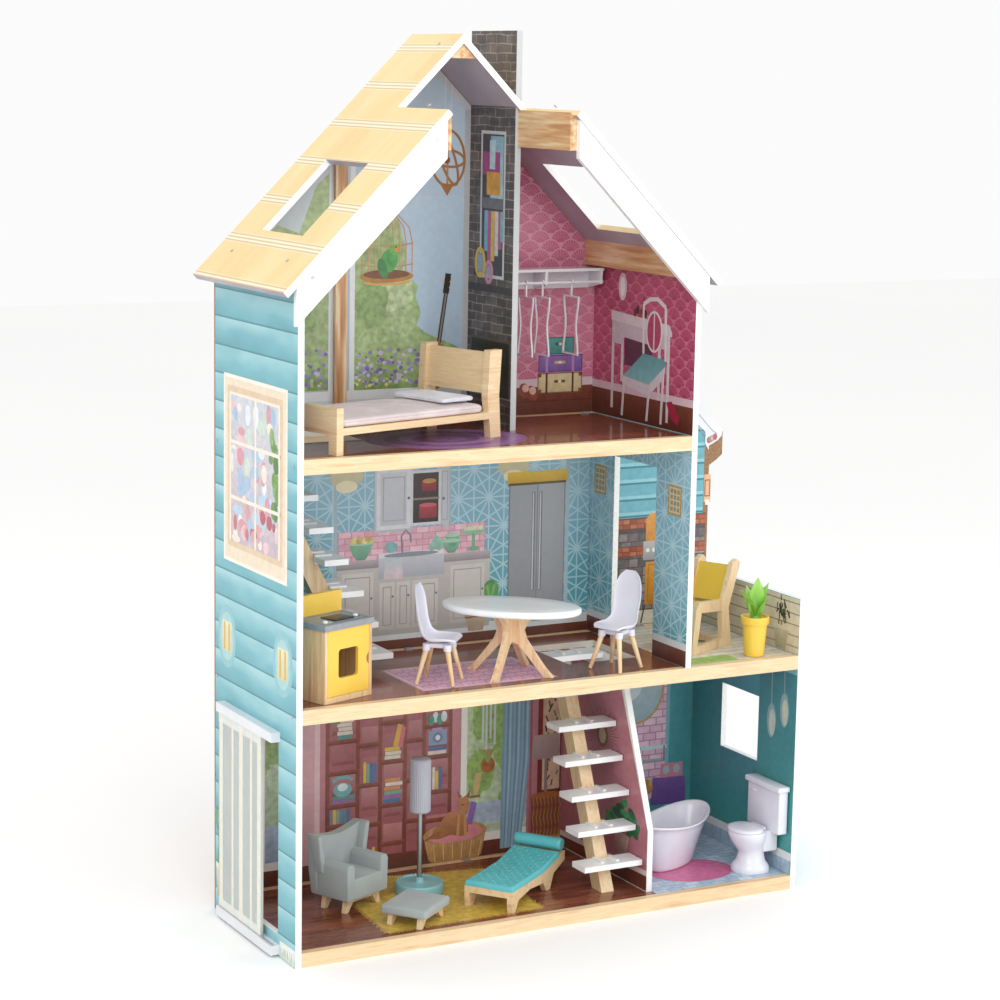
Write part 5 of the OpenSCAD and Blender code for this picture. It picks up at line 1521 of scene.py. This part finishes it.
def lathe(profile, x=0.0, y=0.0, n=64, pleats=0, depth=0.0):
    """Round rings from a profile of radius and height, with pleats if wanted."""
    rings = []
    for r_k, z_k in profile:
        rings.append([
            (x + (r_k + depth * math.cos(pleats * a * math.tau / n)) * math.cos(a * math.tau / n),
             y + (r_k + depth * math.cos(pleats * a * math.tau / n)) * math.sin(a * math.tau / n), z_k)
            for a in range(n)
        ])
    return rings


def bezier(points, t):
    """A point on the smooth curve through the given ones, t from 0 to 1."""
    n = len(points) - 1
    k = min(int(t * n), n - 1)
    s = t * n - k
    p0, p1, p2, p3 = (points[max(0, min(n, k + d))] for d in (-1, 0, 1, 2))
    return tuple(
        0.5 * (2 * b + (c - a) * s + (2 * a - 5 * b + 4 * c - d) * s * s + (3 * b - a - 3 * c + d) * s**3)
        for a, b, c, d in zip(p0, p1, p2, p3)
    )


def chair_shell(name, place, body, node):
    """The sheet's middle line runs from the seat's front lip back and up.

    Each of its points is x, z, the sheet's width there and how hollow it is."""
    seat = 64
    line = [
        (27, seat - 2.5, 40, 0), (20, seat - 1, 47, 1), (5, seat - 4, 50, 4), (-10, seat - 4.5, 49, 5),
        (-21, seat + 3, 45, 5), (-26, seat + 18, 42, 4), (-28.5, seat + 34, 44, 3.5),
        (-30.5, seat + 52, 41, 3), (-32, seat + 64, 31, 2), (-32.6, seat + 71.5, 15, 1),
    ]
    along, across, thick = 40, 14, 1.5
    shell = Shell()
    rows = []
    for i in range(along + 1):
        x, z, wide, hollow = bezier(line, i / along)
        x2, z2, _, _ = bezier(line, min(i / along + 0.01, 1))
        x1, z1, _, _ = bezier(line, max(i / along - 0.01, 0))
        dx, dz = x2 - x1, z2 - z1
        size = math.hypot(dx, dz)
        nx, nz = -dz / size, dx / size
        if nx < 0 and i > along / 2 or nz < 0 and i <= along / 2:
            nx, nz = -nx, -nz
        row = []
        for side in (1, -1):
            for k in range(across + 1):
                s = (k / across * 2 - 1) * side
                lift = hollow * s * s + side * thick
                row.append((x + nx * lift, wide / 2 * math.sin(s * math.pi / 2 * 0.98), z + nz * lift))
        rows.append(row)
    shell.loft(rows)
    shell.block((-17, -15, seat - 14), (15, 15, seat - 7), 2)
    for sx in (-1, 1):
        for sy in (-1, 1):
            low_end = lathe([(5.4, seat - 17)], sx * 15, sy * 15, n=16)
            top_end = lathe([(6, seat - 8)], sx * 14, sy * 14, n=16)
            shell.loft(low_end + top_end)
    return shell.done(name, place, shell_white, body, "white_gloss", [node], sharp=50)


chair_shell("chair_a_moulded_shell", stand(244, 70, 1, -41), "chair_a", "chair_a_shell")
chair_shell("chair_b_moulded_shell", stand(508, 41, 1, 204), "chair_b", "chair_b_shell")
peg_pine = pine("pine_pegs", 2, dark="cf9d6d", light="e3bd8f")
dress(peg_pine, "chair_a_legs", "chair_b_legs")


# ---- Toy stove ----
# A pine box with a grey top, a yellow splashback and a yellow door that turns on pins. A black hob
# plate and two white knobs are separate pieces on the top, over a few printed lines.
yellow_paint = mottled(
    "yellow_satin_paint", "e6b93a", "f4cf55", (16, (1, 1, 1), 3), 320, 0.00008, rough=0.4, coat=0.15
)
dress(yellow_paint, "stove_door", "stove_splashback", "lounge_panels")
dress(pine("pine_stove", 2, dark="cf9d6d", light="e6c496"), "stove_cabinet")
hob_grey = mottled("grey_hob", "7f868c", "9aa1a6", (120, (1, 1, 1), 3), rough=0.45, coat=0.1)
dress(hob_grey, "stove_top")
stove_place = stand(47, 15, 1, 19.5)
hob = Shell()
hob.block((30, 12, 106.0), (66, 40, 107.6), 0.6)
hob_black = mottled("black_hob", "23262a", "34383c", 90, rough=0.35)
hob.done("hob_plate", stove_place, hob_black, "stove", "grey_top")
p = Print("hob_marks_print", lambda u, v, h: stove_place @ Vector((u, v, 106.02 + h)))
p.frame(4, 4, 83, 54, 1.2, "666d74", 1)
for u in (14, 22):
    p.disc(u, 14, 3.4, 3.4, "c9ccce", 2)
p.disc(76, 20, 5.5, 5.5, "5a6168", 2)
p.done(slot="grey_top", body="stove")
knob_white = white_lacquer("knob_white")
knob_profile = [(3.4, 106), (3.4, 108), (2.9, 108.8), (0.4, 109.1)]
for k, (u, v) in enumerate(((14, 14), (76, 20.4))):
    knob = Shell()
    knob.loft(lathe(knob_profile, u, v, n=20))
    knob.done(f"stove_knob_{k + 1}", stove_place, knob_white, "stove", "white_gloss")


# ---- Armchair and ottoman ----
# Moulded bodies with a matt mottled face, on pine rails with splayed ends. The back spreads
# into two wings with a dip between them.
flock = mottled(
    "pale_grey_flock", "959f9f", "a9b2b1", (30, (1, 1, 1), 3), (420, (1, 1, 1), 3), 0.0002, rough=0.8,
    sheen=0.3
)
chair_w, chair_d, seat_z = 84, 70, 19
wing = Shell()
half = chair_w / 2
wing.block((-half + 12, -0.5, seat_z), (half - 12, chair_d - 10, seat_z + 30), 2.5)
for side in (-1, 1):
    wing.board([
        (side * (half - 15), seat_z), (side * half, seat_z), (side * (half + 1.5), seat_z + 46),
        (side * (half - 2), seat_z + 52),
        (side * (half - 12), seat_z + 52), (side * (half - 15), seat_z + 46),
    ], 0, chair_d - 8, 2.2)
    wing.board([
        (side * (half - 6), seat_z + 34), (side * (half + 4), seat_z + 34), (side * (half + 13), seat_z + 88),
        (side * (half + 5), seat_z + 88),
    ], chair_d - 26, chair_d - 8, 2.2)
arc = [(u / 10 * (half + 10), seat_z + 79.5 + 9.5 * (abs(u) / 10) ** 1.6) for u in range(10, -11, -1)]
wing.board(
    [(half, seat_z), (half + 4, seat_z + 34)] + arc + [(-half - 4, seat_z + 34), (-half, seat_z)],
    chair_d - 14, chair_d, 2.6
)
armchair_place = stand(167, 127, 0, 24)
wing.done(
    "armchair_moulded_body", armchair_place, flock, "armchair", "grey_soft", ["armchair_body"], sharp=60
)
stool = Shell()
stool.block((-39, -34, 16), (39, 34, 28), 2.4)
stool.block((-36.5, -31.5, 26.5), (36.5, 31.5, 28.6), 0.9)
stool.done(
    "ottoman_moulded_top", stand(206, 58, 0, 37), flock, "ottoman", "grey_soft", ["ottoman_cushion"], sharp=60
)
dress(pine("pine_seat_legs", 0, dark="d3a67c"), "armchair_legs", "ottoman_legs")


# ---- Floor lamp ----
# A pale teal weighted base with a raised rim, a satin silver pole and a pleated lilac-grey shade.
lamp_place = stand(266, 166, 0, 0)
base_teal = mottled("pale_teal_moulding", "79b3b9", "8fc6c9", 25, 300, 0.00005, rough=0.35, coat=0.2)
base = Shell()
base.loft(
    lathe(
        [
            (34, 0), (35, 1), (35, 12), (34.4, 14.6), (33, 16), (30.5, 16), (29.5, 14.4), (12, 14.4),
            (8, 15.2), (6.4, 17), (5.8, 22), (0.3, 22)
        ],
        n=72
    )
)
base.done("lamp_weighted_base", lamp_place, base_teal, "lamp", "teal_base", ["lamp_base"])
satin = mottled("satin_silver", "9c9fa1", "b9bcbe", (60, (1, 1, 0.1)), rough=0.35, metal=0.9)
dress(satin, "lamp_pole")
shade_grey = mottled("lilac_grey_shade", "a3a5b0", "b8bac4", 22, rough=0.6, coat=0.05)
shade = Shell()
shade.loft(
    lathe(
        [(13.4, 118), (14.6, 119.5), (14.8, 122), (14.8, 191), (14.4, 194), (12.5, 195.8), (0.4, 196)], n=192,
        pleats=32, depth=0.25
    )
)
shade.done("lamp_pleated_shade", lamp_place, shade_grey, "lamp", "lamp_shade", ["lamp_shade"], sharp=60)


# ---- Chaise longue ----
# A pine frame with a raised head, under one turquoise moulded pad with rows of tufts and a bolster.
chaise_place = stand(338, 22, 0, 36)
dress(pine("pine_chaise", 0), "chaise_frame")
turquoise = mottled(
    "turquoise_moulding", "4fb0b8", "6ccad0", (24, (1, 1, 1), 3), 300, 0.0001, rough=0.5, coat=0.1
)
pad_l, pad_w, pad_t, deck, bend_x, slope = 158, 74, 8, 30, 104, 0.18


def tufted(u, v):
    """Height of the pad's top: rows of shallow buttoned dimples, and a rounded rim."""
    row = math.cos(u * math.tau / 17) * math.cos(v * math.tau / 14.8)
    rim = min(u - 1, 1 + pad_l - u, v, pad_w - v) / 3.0
    soft = math.sqrt(max(0.0, 1 - (1 - min(rim, 1.0)) ** 2))
    dimple = -1.9 * max(0.0, -row) ** 3 * min(1.0, max(0.0, rim - 1))
    return deck + slope * max(0, u - bend_x) + 0.5 + (pad_t - 0.7) * (0.35 + 0.65 * soft) + dimple


tufts = Shell()
nu, nv = 158, 74
grid = [
    [
        tufts.mesh.verts.new((1 + i * pad_l / nu, j * pad_w / nv, tufted(1 + i * pad_l / nu, j * pad_w / nv)))
        for j in range(nv + 1)
    ]
    for i in range(nu + 1)
]
for i in range(nu):
    for j in range(nv):
        tufts.mesh.faces.new((grid[i][j], grid[i + 1][j], grid[i + 1][j + 1], grid[i][j + 1]))
rim_line = [grid[i][0] for i in range(nu + 1)] + [grid[nu][j] for j in range(1, nv + 1)]
rim_line += [grid[i][nv] for i in range(nu - 1, -1, -1)] + [grid[0][j] for j in range(nv - 1, 0, -1)]
under = [
    tufts.mesh.verts.new((v.co.x, v.co.y, deck + slope * max(0, v.co.x - bend_x) + 0.05)) for v in rim_line
]
for k in range(len(rim_line)):
    m = (k + 1) % len(rim_line)
    tufts.mesh.faces.new((rim_line[k], under[k], under[m], rim_line[m]))
tufts.mesh.faces.new(under)
bolster = []
for k in range(33):
    y = 0.4 + k * (pad_w - 0.8) / 32
    tight = 1 if 0 < k < 32 else 0.86
    radius = (9.0 + 0.35 * math.cos(k * math.pi)) * tight
    bolster.append(
        [
            (168 + radius * math.cos(a * math.tau / 40), y, 55 + radius * math.sin(a * math.tau / 40))
            for a in range(40)
        ]
    )
tufts.loft(bolster)
piece = tufts.done(
    "chaise_tufted_pad", chaise_place, turquoise, "chaise", "teal_pad", ["chaise_pad"], sharp=70
)


# ---- Toilet ----
# Moulded white: a stepped foot under a round bowl, a square tank with an overhanging cover, and a
# domed lid that turns on a bar.
china = white_lacquer("moulded_china", "d9dbe8", "ececf4", 0.16)
toilet_place = stand(789, 50, 0, 180)


def egg(x0, l, w, z, n=48):
    """An egg-shaped outline: straight at the back, widest past the middle."""
    ring = []
    for k in range(n):
        t = math.tau * k / n
        c = math.cos(t)
        reach = 0.55 * l if c > 0 else 0.45 * l
        ring.append((x0 + 0.45 * l + reach * (abs(c) ** 0.85) * (1 if c > 0 else -1), w / 2 * math.sin(t), z))
    return ring


toilet = Shell()
toilet.loft([
    egg(8, 56, 54, 0), egg(7.5, 57, 55, 2), egg(8.5, 55, 53, 8), egg(11, 50, 48, 12), egg(14, 43, 41, 16),
    egg(15.5, 39, 37, 24),
    egg(16, 38, 36, 30), egg(17, 42, 40, 36), egg(17, 47, 48, 43), egg(16.5, 51, 55, 50),
    egg(16.5, 53.5, 59, 56),
    egg(16.5, 54, 60, 60), egg(17, 53, 59, 62), egg(24, 36, 38, 62.2),
])
toilet.block((1, -20, 30), (26, 20, 61.5), 3)
toilet.block((0, -41, 60), (16, 41, 125), 2.2)
toilet.block((-0.9, -44, 124), (20, 44, 132), 1.8)
toilet.block((15.5, -33, 112), (18, -20, 115), 0.8)
toilet.done("toilet_moulding", toilet_place, china, "toilet", "white_gloss", ["toilet_body"], sharp=60)
lid = Shell()
lid.loft(
    [
        egg(22, 48, 58, 62.4), egg(22, 49, 59, 63), egg(22, 49, 59, 65), egg(23, 47, 56, 66.8),
        egg(27, 38, 46, 67.8), egg(38, 12, 14, 68.2)
    ]
)
lid.block((19.8, -17, 62.6), (24.6, 17, 67.4), 2.2)
lid.done("toilet_domed_lid", toilet_place, china, "toilet_lid", "white_gloss", ["toilet_lid"], sharp=60)


# ---- Bathtub ----
# A white slipper tub with a rolled rim that rises to both ends, lofted as one closed wall from its
# foot, over the rim and down to its inside bottom.
tub_place = stand(662, 124, 0, 28)


def tub_ring(l, w, z, rise, n=72, shift=0.0):
    ring = []
    for k in range(n):
        t = math.tau * k / n
        ring.append(
            (shift + l / 2 * math.cos(t), w / 2 * math.sin(t), z - rise * (1 - abs(math.cos(t)) ** 1.7))
        )
    return ring


tub = Shell()
tub_l, tub_w, tub_h, tub_dip = 172, 88, 78, 9
tub.loft([
    tub_ring(80, 32, 0, 0), tub_ring(102, 44, 0.2, 0), tub_ring(107, 47, 3, 0), tub_ring(110, 49, 7, 0),
    tub_ring(116, 53, 16, 0.5),
    tub_ring(126, 61, 32, 2), tub_ring(138, 69, 48, 4), tub_ring(150, 76, 62, 7),
    tub_ring(158, 80, 70.5, tub_dip),
    tub_ring(166, 84, 73.5, tub_dip), tub_ring(171, 87, 75, tub_dip), tub_ring(tub_l, tub_w, 76.6, tub_dip),
    tub_ring(170.5, 86.5, tub_h, tub_dip), tub_ring(165, 82, tub_h, tub_dip),
    tub_ring(159, 77, 76.2, tub_dip), tub_ring(152, 71, 70, 8),
    tub_ring(142, 65, 58, 6), tub_ring(130, 57, 42, 3), tub_ring(118, 49, 24, 1), tub_ring(108, 42, 12, 0),
    tub_ring(90, 32, 8.4, 0),
    tub_ring(20, 8, 8, 0),
])
tub.done("slipper_tub", tub_place, china, "bathtub", "white_gloss", ["bathtub"], sharp=60)


# ---- Balcony chair and plant ----
# A lounge chair of two sawn pine sides with yellow painted seat and back, and a yellow pot with
# moulded lime-green blades.
dress(pine("pine_lounge", 2, dark="d6aa7f", light="ecd0a8"), "lounge_frame")
pot_place = stand(733, 29, 1, 0)
pot_yellow = mottled("satin_yellow_pot", "e9ba35", "f5d054", 25, 260, 0.00008, rough=0.4, coat=0.15)
pot = Shell()
pot.loft(
    lathe(
        [
            (13.4, 0.1), (14.2, 0.8), (17.8, 46.4), (19.6, 46.8), (20.1, 47.6), (20.6, 57.2), (20.2, 58),
            (18.2, 58), (17.6, 57.2), (17, 54.2), (0.4, 54)
        ],
        n=56
    )
)
pot.done("plant_turned_pot", pot_place, pot_yellow, "plant", "pot_yellow", ["plant_pot"])
lime = Finish("lime_blade", rough=0.3, coat=0.25, see_through=0.25)
_, _, up_blade = lime.parts()
vein = lime.calc("MULTIPLY", lime.noise(30, (6, 6, 1), 3), 0.6)
tip_light = lime.calc("MULTIPLY", lime.band(up_blade, 0.4, 0.47), 0.35)
greens = [(0.25, ink("6fae2f")), (0.5, ink("9ad94f")), (0.8, ink("c9f08a"))]
lime.colour(lime.steps(lime.calc("ADD", vein, tip_light), greens))
blades = Shell()
blades.loft(lathe([(8, 54.1), (8, 58), (6, 60), (0.3, 60.4)], n=24))
for heading, tilt, tall, wide in (
    (196, 33, 54, 8.5), (248, 8, 60, 13), (12, 24, 52, 8), (300, 30, 40, 8), (100, 20, 46, 9),
    (150, 12, 44, 9)
):
    turn = Matrix.Rotation(math.radians(heading), 4, "Z")
    rings = []
    for i in range(15):
        t = i / 14
        bend = math.radians(tilt) * (0.35 + 0.75 * t)
        out, up = 3 + tall * t * math.sin(bend), 57 + tall * t * math.cos(bend)
        half_w = max(0.35, wide * (math.sin(math.pi * (0.16 + 0.84 * t)) ** 0.8) * (1 - 0.15 * t))
        ring = []
        for k in range(10):
            s = math.tau * k / 10
            fold = 1.6 * abs(math.cos(s)) * half_w / wide
            ring.append(turn @ Vector((out + 0.7 * math.sin(s) + fold, half_w * math.cos(s), up)))
        rings.append(ring)
    blades.loft(rings)
blades.done("plant_blades", pot_place, lime, "plant", "leaf", ["plant_leaves"], sharp=75)


# ---- Floor, light and camera ----
# A pale studio floor, broad soft lights over and in front of the open side, and a long lens that
# stands to the left of the house, a little above its middle.
floor_mesh = bpy.data.meshes.new("studio_floor")
low_z = cad_box[0][2]
floor_mesh.from_pydata([(-9, -9, low_z), (9, -9, low_z), (9, 9, low_z), (-9, 9, low_z)], [], [(0, 1, 2, 3)])
studio = bpy.data.objects.new("studio_floor", floor_mesh)
bpy.context.scene.collection.objects.link(studio)
pale = mottled("studio_floor", "f8f8f8", "fdfdfc", 0.5, rough=0.9)
floor_mesh.materials.append(pale.mat)

world = bpy.data.worlds.new("studio_air")
world.use_nodes = True
world.node_tree.nodes["Background"].inputs[0].default_value = (1.0, 1.0, 1.0, 1.0)
world.node_tree.nodes["Background"].inputs[1].default_value = 0.97
bpy.context.scene.world = world
bpy.context.scene.view_settings.view_transform = "Standard"


def softbox(name, place, aim, size, watts):
    lamp = bpy.data.lights.new(name, "AREA")
    lamp.shape, lamp.size, lamp.energy = "SQUARE", size, watts
    holder = bpy.data.objects.new(name, lamp)
    holder.location = place
    holder.rotation_euler = (Vector(aim) - Vector(place)).to_track_quat("-Z", "Y").to_euler()
    bpy.context.scene.collection.objects.link(holder)


softbox("key_light", (-1.6, -2.9, 2.6), (0, 0, 0.6), 2.2, 44)
softbox("fill_light", (2.2, -2.8, 1.4), (0, 0, 0.5), 2.4, 26)
softbox("top_light", (0.0, -0.4, 3.4), (0, 0, 0.6), 2.4, 8)

yaw, pitch, roll = math.radians(-28.59), math.radians(9.49), math.radians(1.01)
forward = Vector((-math.sin(yaw) * math.cos(pitch), math.cos(yaw) * math.cos(pitch), -math.sin(pitch)))
level = Vector((math.cos(yaw), math.sin(yaw), 0))
upward = level.cross(forward)
side = level * math.cos(roll) + upward * math.sin(roll)
rise = upward * math.cos(roll) - level * math.sin(roll)
eye = at(-1327, -2977.5, 1176.8)
lens = bpy.data.cameras.new("camera")
lens.sensor_width, lens.lens = 36, 92.6
camera = bpy.data.objects.new("camera", lens)
turned = Matrix((side, rise, -forward)).transposed().to_4x4()
camera.matrix_world = Matrix.Translation(eye) @ turned
bpy.context.scene.collection.objects.link(camera)
bpy.context.scene.camera = camera
